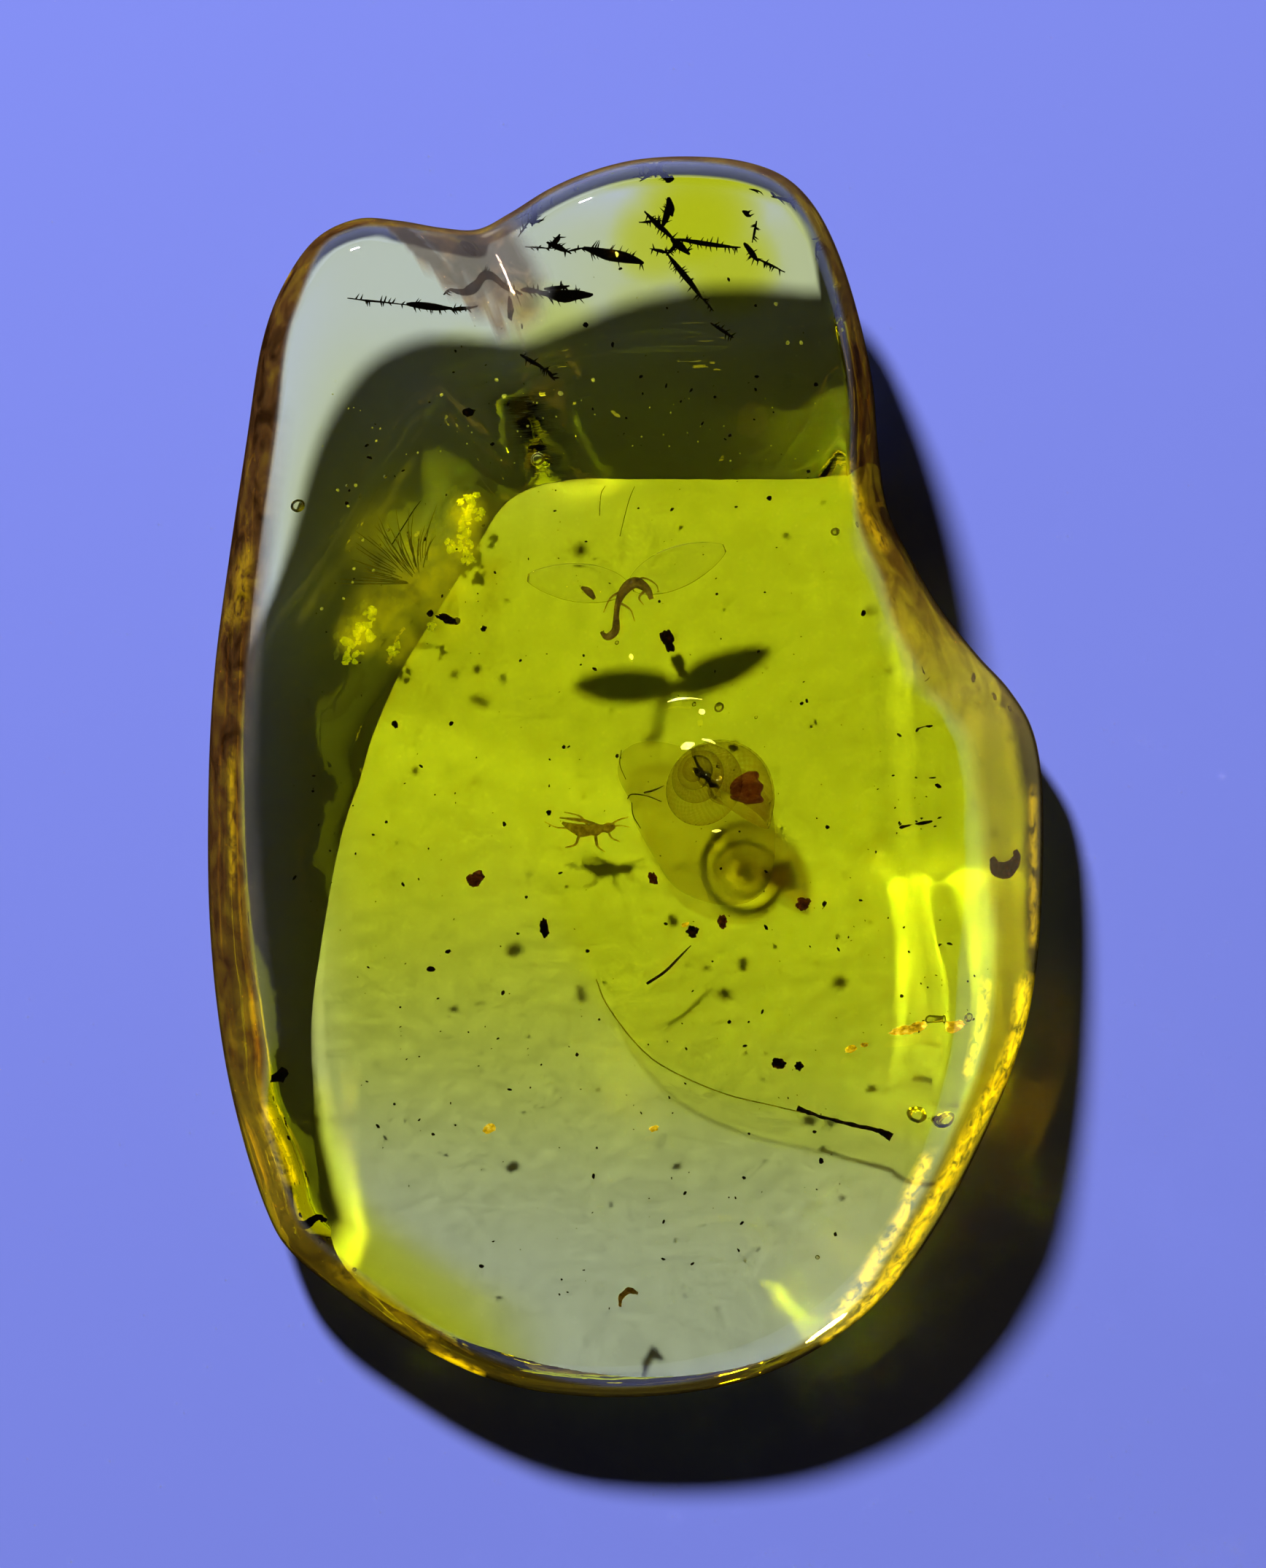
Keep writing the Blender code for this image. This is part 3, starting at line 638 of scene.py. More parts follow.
# ---------------------------------------------------------------- the clear nugget
@dataclass
class ClearNugget:
    """The nugget's outside: its outline, its rim at each bearing and its domed top."""

    length: float = 42.0
    width: float = 28.3
    thickness: float = 8.8
    thin_end_drop: float = 4.2
    thin_end_way: tuple[float, float] = (-0.30, -0.95)
    thin_end_span: tuple[float, float] = (-4.0, 21.0)  # where the drop begins and ends
    dome: float = 0.45  # how much lower the top is at both sides
    outline: tuple[tuple[float, float], ...] = (
        (-9.1, 18.9), (-7.7, 18.85), (-6.2, 18.6), (-5.0, 18.55), (-3.9, 19.1), (-2.6, 19.9),
        (-1.2, 20.5), (0.4, 20.9), (2.2, 21.0), (3.9, 20.85), (5.3, 20.35), (6.3, 19.4),
        (7.1, 17.9), (7.8, 15.8), (8.35, 13.4), (8.6, 10.9), (8.9, 9.1), (9.6, 7.6),
        (10.6, 5.85), (11.9, 4.2), (13.0, 3.0), (13.8, 1.6), (14.12, -0.4), (14.12, -3.6),
        (13.9, -6.6), (13.4, -9.0), (12.4, -11.6), (10.9, -14.6), (9.2, -17.1), (7.2, -18.95),
        (4.6, -20.3), (1.6, -20.95), (-1.6, -21.0), (-4.4, -20.5), (-7.2, -19.2),
        (-9.8, -17.4), (-11.3, -16.15), (-12.1, -14.9), (-13.0, -12.2), (-13.7, -8.9),
        (-14.1, -4.8), (-14.12, -0.2), (-13.9, 3.6), (-13.4, 7.4), (-12.8, 11.4),
        (-12.3, 14.6), (-11.6, 16.6), (-10.5, 18.2),
    )  # fmt: skip
    # Bearing: girdle height, width and roundness of the slope above, reach of the flat base,
    # and curve of the slope below.
    rim: dict[int, tuple[float, float, float, float, float]] = field(
        default_factory=lambda: {
            0: (2.7, 4.6, 1.4, 12.6, 0.6), 10: (2.8, 3.7, 1.4, 12.4, 0.6),
            20: (2.9, 2.2, 1.5, 11.5, 0.6), 32: (2.6, 1.5, 1.7, 10.7, 0.65),
            44: (1.8, 1.4, 1.8, 11.15, 0.85), 54: (1.3, 1.3, 1.9, 12.6, 1.0),
            59: (2.8, 1.2, 2.0, 11.9, 1.0), 65: (4.2, 1.2, 2.0, 11.25, 1.15),
            75: (4.4, 1.3, 2.0, 10.56, 1.75), 88: (4.4, 1.2, 2.0, 10.22, 1.85),
            101: (4.3, 1.2, 2.0, 10.35, 1.85), 112: (4.2, 1.3, 2.0, 10.3, 1.85),
            124: (4.1, 1.3, 2.0, 9.2, 1.9), 137: (3.9, 1.2, 2.0, 8.55, 1.7),
            155: (3.7, 1.2, 2.0, 8.45, 1.3), 168: (3.5, 1.3, 1.9, 8.6, 1.2),
            180: (3.3, 1.4, 1.8, 8.95, 1.05), 204: (2.9, 1.6, 1.8, 10.95, 0.85),
            223: (2.5, 1.8, 1.8, 14.3, 0.65), 235: (2.3, 2.0, 1.8, 17.3, 0.6),
            250: (2.0, 2.4, 1.7, 18.5, 0.6), 270: (1.8, 2.7, 1.7, 19.0, 0.6),
            285: (1.85, 2.6, 1.7, 18.7, 0.6), 300: (2.0, 2.4, 1.7, 17.4, 0.6),
            319: (2.3, 2.7, 1.4, 14.9, 0.6), 335: (2.5, 4.0, 1.4, 13.4, 0.6),
            350: (2.6, 4.5, 1.4, 12.7, 0.6),
        }
    )  # fmt: skip
    # The brown rind by bearing: how much is kept, how far in it reaches and how golden it is.
    # Towards the thin end and the lower right, the golden share is partly painted light for sun
    # that the rim passes on.
    rind: dict[int, tuple[float, float, float]] = field(
        default_factory=lambda: {
            0: (0.7, 2.8, 0.5), 14: (0.8, 2.6, 0.35), 28: (0.95, 2.2, 0.15), 40: (1.0, 1.6, 0.0),
            58: (1.0, 1.15, 0.0), 66: (0.95, 0.7, 0.1), 88: (0.9, 0.28, 0.0), 108: (0.9, 0.34, 0.0),
            118: (1.0, 0.55, 0.0), 125: (1.0, 1.1, -0.1), 134: (1.0, 1.3, -0.15),
            155: (1.0, 1.5, -0.1), 180: (1.0, 1.55, -0.05), 204: (1.0, 1.8, 0.05),
            216: (1.0, 1.85, 0.1), 224: (1.0, 1.15, 0.4), 245: (1.0, 1.15, 0.4),
            256: (1.0, 0.9, 0.6), 270: (0.9, 0.45, 0.5), 292: (0.9, 0.6, 0.6),
            302: (0.95, 1.2, 0.8), 320: (0.95, 1.35, 0.8), 335: (0.8, 1.8, 0.75),
            350: (0.7, 2.5, 0.6),
        }
    )  # fmt: skip
    # Painted gleams, an emission where sun caught inside would leave again: a chain of spots, a
    # width and a brightness.
    painted_gleams: tuple[tuple[tuple[tuple[float, float], ...], float, float], ...] = (
        (((13.5, -7.0), (13.3, -8.6), (12.6, -10.2), (11.9, -11.5), (10.9, -13.4), (9.9, -15.1),
          (9.3, -16.2), (8.8, -17.1), (7.9, -18.0)), 0.45, 1.0),
        (((12.1, -6.9), (11.9, -8.5), (11.5, -9.8)), 0.28, 1.0),
        (((10.1, -12.8), (9.6, -13.9), (9.4, -14.6), (8.6, -15.9), (7.9, -17.2), (7.2, -18.1)),
         0.38, 1.0),
        (((8.2, -17.9), (6.8, -19.0)), 0.22, 0.7),
        (((-13.6, -10.4), (-13.1, -12.2)), 0.16, 0.9),
        (((-6.4, -19.5), (-5.0, -20.15)), 0.25, 1.0),
        (((-13.2, 1.0), (-13.2, -3.5)), 0.2, 0.4),
        (((-12.2, -11.0), (-11.5, -13.4)), 0.5, 0.3),
        (((-11.55, 16.75), (-11.4, 17.0)), 0.16, 1.0),
        (((-12.75, 7.3), (-12.9, 5.5)), 0.5, 0.3),
        (((7.4, 10.4), (7.9, 9.0), (8.6, 7.8)), 0.3, 0.35),
        (((13.75, -0.5), (13.8, -5.5)), 0.25, 0.45),
        (((-9.8, -16.6), (-6.5, -19.0)), 0.5, 0.12),
    )  # fmt: skip
    # The flank of the groove, where a brownish painted reflection is laid on the rind: a crisp left
    # side and a soft right one.
    painted_reflection_flank: tuple[tuple[float, float], ...] = (
        (-8.4, 18.8), (-5.9, 16.2), (-4.3, 14.9), (-3.3, 14.5), (-2.4, 15.2), (-2.3, 16.9),
        (-3.6, 19.2),
    )  # fmt: skip
    # Faint ridges that polishing left on the top: two ends, width and height.
    ridges: tuple[tuple[float, float, float, float, float, float], ...] = (
        (6.8, 9.5, 8.5, -8.0, 0.22, 0.016),
        (8.9, 4.0, 10.3, -6.5, 0.2, 0.012),
    )
    groove: tuple[tuple[float, float], tuple[float, float]] = ((-5.4, 19.4), (-3.2, 15.3))
    groove_depth: float = 1.0
    painted_flank_reflection: float = 0.75
    painted_gleam_below: float = 0.3  # of the painted gleam above the girdle
    edge_darkness: float = 0.85
    groove_widths: tuple[float, float] = (0.7, 1.7)
    steps_per_point: int = 8
    lower_rings: int = 28
    upper_rings: int = 24
    top_rings: int = 26
    rind_thickness: float = 0.02
    rind_least: float = 0.02  # rind thinner than this share is left out
    least_cover: float = 0.35  # between the underside and whatever is sealed in
    finish: PolishedAmber = field(default_factory=PolishedAmber)
    rind_finish: WeatheredRindAndPaintedGleam = field(default_factory=WeatheredRindAndPaintedGleam)

    def outline_curve(self) -> list[Vector]:
        """Rounds the outline and fits it to the nugget's width and length."""
        count = len(self.outline)
        ring = []
        for i in range(count):
            a, b, c, d = (Vector(self.outline[(i + k) % count]) for k in (-1, 0, 1, 2))
            for step in range(self.steps_per_point):
                t = step / self.steps_per_point
                bend = (2 * a - 5 * b + 4 * c - d) * t**2 + (3 * b - a - 3 * c + d) * t**3
                ring.append(0.5 * (2 * b + (c - a) * t + bend))
        lows = Vector((min(p.x for p in ring), min(p.y for p in ring)))
        highs = Vector((max(p.x for p in ring), max(p.y for p in ring)))
        middle, size = (lows + highs) / 2, highs - lows
        wide, long = self.width, self.length
        return [
            Vector(((p.x - middle.x) * wide / size.x, (p.y - middle.y) * long / size.y))
            for p in ring
        ]

    def rim_at(self, bearing: float) -> list[float]:
        """Finds the rim's sizes on a smooth closed curve through the table.

        Args:
            bearing: Degrees from +X.

        Returns:
            The five sizes at that bearing.
        """
        bearings = sorted(self.rim)
        count = len(bearings)
        after = sum(1 for angle in bearings if angle <= bearing)
        places = range(after - 2, after + 2)
        angles = [bearings[k % count] + 360 * (k // count) for k in places]
        gap = angles[2] - angles[1]
        t = (bearing - angles[1]) / gap
        sizes = []
        for a, b, c, d in zip(*(self.rim[bearings[k % count]] for k in places)):
            leaving = (c - a) / (angles[2] - angles[0]) * gap
            arriving = (d - b) / (angles[3] - angles[1]) * gap
            bend = (2 * (b - c) + leaving + arriving) * t**3
            sizes.append(b + leaving * t + (3 * (c - b) - 2 * leaving - arriving) * t**2 + bend)
        return sizes

    def rind_at(self, bearing: float) -> list[float]:
        """Finds how much rind is kept at a bearing in degrees, how far in and how golden."""
        bearings = sorted(self.rind)
        last = max(angle for angle in bearings if angle <= bearing)
        following = min((angle for angle in bearings if angle > bearing), default=360)
        t = smoothstep(last, following, bearing)
        ends = zip(self.rind[last], self.rind[following % 360])
        return [low * (1 - t) + high * t for low, high in ends]

    def rind_marks(
        self, spot: Vector, inward: float, rind: Sequence[float], upper: bool
    ) -> dict[str, float]:
        """Measures the rind over one spot.

        Args:
            spot: The spot in plan, in millimetres.
            inward: How far it is from the outline.
            rind: What rind_at gives at its bearing.
            upper: Whether the spot is on the upper side.

        Returns:
            How much rind there is, with the painted reflection on the groove's flank, how golden it
            is, and its dark edge and painted gleam, from 0 to 1.
        """
        kept, width, gold = rind
        cover = kept * smoothstep(width, width * 0.72, inward)
        inside = min(
            (b - a).cross(spot - a) / (b - a).length
            for a, b in zip(map(Vector, self.painted_reflection_flank), map(Vector, (*self.painted_reflection_flank[1:], self.painted_reflection_flank[0])))
        )
        # Painted reflection: the upper side of the groove's flank takes a brownish tint.
        painted_veil = self.painted_flank_reflection * smoothstep(0.0, 0.12 if spot.x + spot.y < 11.2 else 0.9, inside)
        painted_veil = painted_veil if upper else 0.0
        painted_gleam = 0.0
        for chain, reach, bright in self.painted_gleams:
            for a, b in zip(map(Vector, chain), map(Vector, chain[1:])):
                share = max(0.0, min(1.0, (spot - a).dot(b - a) / (b - a).length_squared))
                away = (spot - a.lerp(b, share)).length
                painted_gleam = max(painted_gleam, bright * smoothstep(reach, 0.0, away))
        if painted_veil > cover:
            gold = -0.15
        if not upper:
            painted_gleam *= self.painted_gleam_below
        edge = self.edge_darkness * smoothstep(0.16, 0.03, inward)
        return {"rind": max(cover, painted_veil), "gold": gold, "edge": edge, "painted_gleam": painted_gleam}

    def top_at(self, x: float, y: float) -> float:
        """Finds the height of the polished top over a point, before the groove is sunk."""
        towards_thin_end = self.thin_end_way[0] * x + self.thin_end_way[1] * y
        drop = self.thin_end_drop * smoothstep(*self.thin_end_span, towards_thin_end)
        height = self.thickness - drop - self.dome * (x / (self.width / 2)) ** 2
        for x0, y0, x1, y1, width, rise in self.ridges:
            start, along = Vector((x0, y0)), Vector((x1 - x0, y1 - y0))
            offset = Vector((x, y)) - start
            share = offset.dot(along) / along.length_squared
            across = offset.cross(along) / along.length
            ends = smoothstep(0.0, 0.12, share) * smoothstep(1.0, 0.88, share)
            height += rise * ends * math.exp(-((across / width) ** 2))
        return height

    def groove_at(self, x: float, y: float) -> float:
        """Finds how far the groove between the humps is sunk at a point."""
        start, end = Vector(self.groove[0]), Vector(self.groove[1])
        along = (end - start).normalized()
        offset = Vector((x, y)) - start
        share = offset.dot(along) / (end - start).length
        across = offset.cross(along)
        width = self.groove_widths[0 if across > 0 else 1]
        fade = 1 - smoothstep(0.35, 1.0, share)
        return self.groove_depth * fade * math.exp(-((across / width) ** 2))

    def fallen(self, share: float, curve: float) -> float:
        """Finds the fall of the slope below the girdle.

        Args:
            share: How far the spot is from the girdle to the flat base's edge.
            curve: Under 1 for a bulging slope, over 1 for a level shelf that turns into a ramp.

        Returns:
            The fall, from 0 at the girdle to 1 at the flat base.
        """
        if curve <= 1:
            return share**curve
        ramp_start = (1 - 1 / curve) / 0.75
        if share < ramp_start:
            return curve * share * (share / ramp_start) ** 3 / 4
        return 1 - curve * (1 - share)

    def geometry(self) -> bmesh.types.BMesh:
        """Builds the whole nugget from level rings, with a crisp edge round its flat base.

        Returns:
            The closed geometry in metres.
        """
        ring = self.outline_curve()
        count = len(ring)
        rims = [self.rim_at(math.degrees(math.atan2(p.y, p.x)) % 360) for p in ring]
        reaches = []
        for i, point in enumerate(ring):
            tangent = (ring[(i + 1) % count] - ring[i - 1]).normalized()
            reaches.append(max(abs(tangent.cross(point.normalized())), 0.5))
        bm = bmesh.new()

        def inset(i: int, distance: float) -> Vector:
            """Moves an outline point in, measured square to the outline."""
            return ring[i] - ring[i].normalized() * distance / reaches[i]

        def below(i: int, share: float) -> Spot:
            """Places a vertex between the girdle and the flat base."""
            girdle, _, _, base, curve = rims[i]
            spot = ring[i].lerp(ring[i].normalized() * base, share)
            return (spot.x, spot.y, girdle * (1 - self.fallen(share, curve)))

        def above(i: int, share: float) -> Spot:
            """Places a vertex on the rounded slope above the girdle."""
            girdle, upper, roll, _, _ = rims[i]
            spot = inset(i, share * upper)
            sunk = self.groove_at(*spot) * smoothstep(0, 0.4, share)
            rise = (1 - (1 - share) ** roll) ** (1 / roll)
            return (spot.x, spot.y, girdle + (self.top_at(*spot) - sunk - girdle) * rise)

        def across(i: int, share: float) -> Spot:
            """Places a vertex on the domed top."""
            spot = inset(i, rims[i][1]) * share
            return (spot.x, spot.y, self.top_at(*spot) - self.groove_at(*spot))

        plans: list[tuple[Callable[[int, float], Spot], float]] = []
        for k in range(self.lower_rings, 0, -1):
            plans.append((below, (1 - math.cos(math.pi * k / self.lower_rings)) / 2))
        for k in range(self.upper_rings + 1):
            plans.append((above, (k / self.upper_rings) ** 1.5))
        for k in range(1, self.top_rings):
            plans.append((across, 1 - k / self.top_rings))
        depth = bm.verts.layers.float.new("inward")
        levels = []
        for place, share in plans:
            level = [bm.verts.new(Vector(place(i, share)) * MM) for i in range(count)]
            for i, vertex in enumerate(level):
                vertex[depth] = (ring[i] - vertex.co.xy / MM).length * reaches[i]
            levels.append(level)
        join_rings(bm, levels)
        base = bm.faces.new(levels[0][::-1])
        crown = bm.verts.new(Vector((0, 0, self.top_at(0, 0))) * MM)
        crown[depth] = self.width / 2
        for i in range(count):
            bm.faces.new((levels[-1][i], levels[-1][(i + 1) % count], crown))
        bmesh.ops.recalc_face_normals(bm, faces=bm.faces)
        for edge in base.edges:
            edge.smooth = False
        return bm

    def line_of_sight(self) -> Seal:
        """Makes the function that places what is seen from straight above at (x, y).

        Returns:
            A function of x, y and a height that gives the spot to which the curved top bends
            the view, all in millimetres.
        """
        bm = self.geometry()
        mesh = bpy.data.meshes.new("sight")
        bm.to_mesh(mesh)
        bm.free()
        corners = [vertex.co.copy() for vertex in mesh.vertices]
        normals = [vertex.normal.copy() for vertex in mesh.vertices]
        faces = [list(face.vertices) for face in mesh.polygons]
        bpy.data.meshes.remove(mesh)
        tree = BVHTree.FromPolygons(corners, faces)
        down = Vector((0, 0, -1))

        def seal(x: float, y: float, z: float) -> Vector:
            """Finds the spot at height z, or just over the underside, that is seen at (x, y)."""
            under, _, _, _ = tree.ray_cast(Vector((x, y, -self.thickness)) * MM, -down)
            z = max(z, under.z / MM + self.least_cover)
            entry, _, number, _ = tree.ray_cast(Vector((x, y, 2 * self.thickness)) * MM, down)
            shares = poly_3d_calc([corners[k] for k in faces[number]], entry)
            normal = sum((normals[k] * s for k, s in zip(faces[number], shares)), Vector())
            normal.normalize()
            facing = normal.z
            bent = math.sqrt(1 - (1 - facing**2) / AMBER_IOR**2)
            ray = down / AMBER_IOR + normal * (facing / AMBER_IOR - bent)
            entry = entry / MM
            return entry + ray * (z - entry.z) / ray.z

        return seal

    def build_rind(self) -> None:
        """Builds the rim's stained skin, with its painted gleams and painted reflection, as a thin
        closed film on the polished surface.
        """
        bm = replace(self, lower_rings=12, upper_rings=20, top_rings=24).geometry()
        names = ("rind", "gold", "edge", "painted_gleam")
        for name in names:  # adding a layer moves the others, so each is fetched afterwards
            bm.verts.layers.float.new(name)
        depth = bm.verts.layers.float["inward"]
        layers = {name: bm.verts.layers.float[name] for name in names}
        rind_layer = layers["rind"]
        bm.normal_update()
        for vertex in bm.verts:
            spot = vertex.co.xy / MM
            upper = vertex.normal.z > 0
            rind = self.rind_at(math.degrees(math.atan2(spot.y, spot.x)) % 360)
            for name, value in self.rind_marks(spot, vertex[depth], rind, upper).items():
                vertex[layers[name]] = value
        clean = [
            face
            for face in bm.faces
            if max(v[rind_layer] + v[layers["painted_gleam"]] for v in face.verts) < self.rind_least
            or (face.normal.z < 0 and min(v[rind_layer] for v in face.verts) < self.rind_least)
        ]
        bmesh.ops.delete(bm, geom=clean, context="FACES")
        bm.normal_update()
        for vertex in bm.verts:
            vertex.co += vertex.normal * 1.5 * self.rind_thickness * MM
        bmesh.ops.solidify(bm, geom=bm.faces, thickness=self.rind_thickness * MM)
        piece = mesh_piece("rim_rind_and_painted_gleam", bm, self.rind_finish.material())

    def build(self) -> None:
        """Builds the clear nugget, which stands for the two packed halves."""
        piece = mesh_piece("clear_nugget", self.geometry(), self.finish.material())
        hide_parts("amber_upper", "amber_lower")


@dataclass
class ResinFlow:
    """The seam between two flows of resin, stained a deeper yellow, which thins out to the ends."""

    # Its crisp lower edge, from the left, seen from above.
    edge: tuple[tuple[float, float], ...] = (
        (-14.0, -7.5), (-8.0, -7.5), (-4.0, -7.0), (-1.3, -6.6), (-0.6, -7.7), (0.85, -9.4),
        (3.0, -10.5), (5.1, -11.05), (7.2, -11.5), (9.4, -11.9), (14.0, -12.6),
    )  # fmt: skip
    # Deeper pools in the right hump: place, reach and depth.
    pools: tuple[tuple[float, float, float, float], ...] = (
        (2.4, 18.6, 2.9, 0.9), (1.0, 18.0, 2.2, 0.6), (3.4, 17.2, 2.6, 0.7), (-2.2, 14.8, 2.8, 0.3),
        (-5.4, 13.9, 2.2, 0.2), (0.6, 15.8, 2.4, 0.25), (-8.5, 12.5, 2.0, 0.12),
    )  # fmt: skip
    height: float = 3.8
    slope: float = 0.08
    sag: float = 0.3  # how fast it sinks towards the right rim
    depth: float = 0.3
    pitch: float = 0.25
    corner: tuple[float, float] = (-13.0, -20.5)  # of the grid that it is built on
    span: tuple[float, float] = (28.0, 41.0)
    outline: Sequence[Vector] = ()
    finish: RicherResin = field(default_factory=RicherResin)
    nearest_rim: KDTree = field(init=False)

    def __post_init__(self) -> None:
        """Sorts the outline's points, so that the nearest one is quick to find."""
        self.nearest_rim = KDTree(len(self.outline))
        for number, spot in enumerate(self.outline):
            self.nearest_rim.insert((spot.x, spot.y, 0), number)
        self.nearest_rim.balance()

    def edge_at(self, x: float) -> float:
        """Finds the lower edge's y at this x."""
        for (x0, y0), (x1, y1) in zip(self.edge, self.edge[1:]):
            if x0 <= x <= x1:
                return y0 + (y1 - y0) * (x - x0) / (x1 - x0)
        return self.edge[-1][1]

    def depth_at(self, x: float, y: float) -> float:
        """Finds how thick the flow is at a point."""
        crisp = 0.3 + 8.0 * smoothstep(-0.2, -4.5, x)
        past_edge = smoothstep(0.0, crisp, y - self.edge_at(x))
        left_hump = 1 - 0.6 * smoothstep(8.0, 13.0, y) * smoothstep(1.0, -4.0, x)
        humps = left_hump * (1 - 0.5 * smoothstep(12.0, 16.0, y)) * smoothstep(20.2, 18.0, y)
        right = smoothstep(13.9, 13.1, x)
        narrow = smoothstep(8.9, 7.4, x) if y > 5.5 else 1.0
        left = smoothstep(-12.5, -9.0, x)
        thin_end = 0.75 + 0.25 * smoothstep(-11.0, -2.0, y)
        gradual = smoothstep(-17.0, -4.5, y) ** 1.6
        layers = 0.6 * gradual + 0.55 * past_edge * thin_end
        main = self.depth * layers * left * humps * right * narrow
        for at_x, at_y, reach, extra in self.pools:
            away = math.hypot(x - at_x, y - at_y)
            main = max(main, extra * smoothstep(reach, 0.2 * reach, away))
        rim, _, inward = self.nearest_rim.find((x, y, 0))
        if rim.x * (rim.x - x) + rim.y * (rim.y - y) < 0:
            return 0.0
        # Painted light: the yellower band along the lower-left rim stands in for a golden glow of
        # light there.
        bearing = math.degrees(math.atan2(y, x)) % 360
        along = smoothstep(214, 222, bearing) * smoothstep(264, 250, bearing)
        band = 0.6 * smoothstep(3.8, 0.6, inward) * along
        return max(main, band) * smoothstep(0.35, 0.7, inward)

    def build(self) -> None:
        """Builds the flow as one closed lens from a square grid."""
        bm = bmesh.new()
        left, bottom = self.corner
        columns, rows = (int(size / self.pitch) for size in self.span)
        corners: dict[tuple[int, int, int], bmesh.types.BMVert] = {}

        def corner(i: int, j: int, side: int) -> bmesh.types.BMVert:
            """Makes or finds the vertex of a grid spot on one side of the lens."""
            x, y = left + i * self.pitch, bottom + j * self.pitch
            half = self.depth_at(x, y) / 2
            if half < 1e-4:
                half = side = 0
            if (i, j, side) not in corners:
                sag = self.sag * max(0.0, x - 10.5)
                z = self.height + self.slope * y - sag + side * half
                corners[i, j, side] = bm.verts.new(Vector((x, y, z)) * MM)
            return corners[i, j, side]

        for i in range(columns):
            for j in range(rows):
                around = [(i, j), (i + 1, j), (i + 1, j + 1), (i, j + 1)]
                depths = [
                    self.depth_at(left + a * self.pitch, bottom + b * self.pitch)
                    for a, b in around
                ]
                if max(depths) <= 2e-4:
                    continue
                for side in (1, -1):
                    quad = [corner(a, b, side) for a, b in around[::side]]
                    bm.faces.new(quad)
        bmesh.ops.dissolve_degenerate(bm, dist=1e-7, edges=bm.edges)
        piece = mesh_piece("resin_flow", bm, self.finish.material())


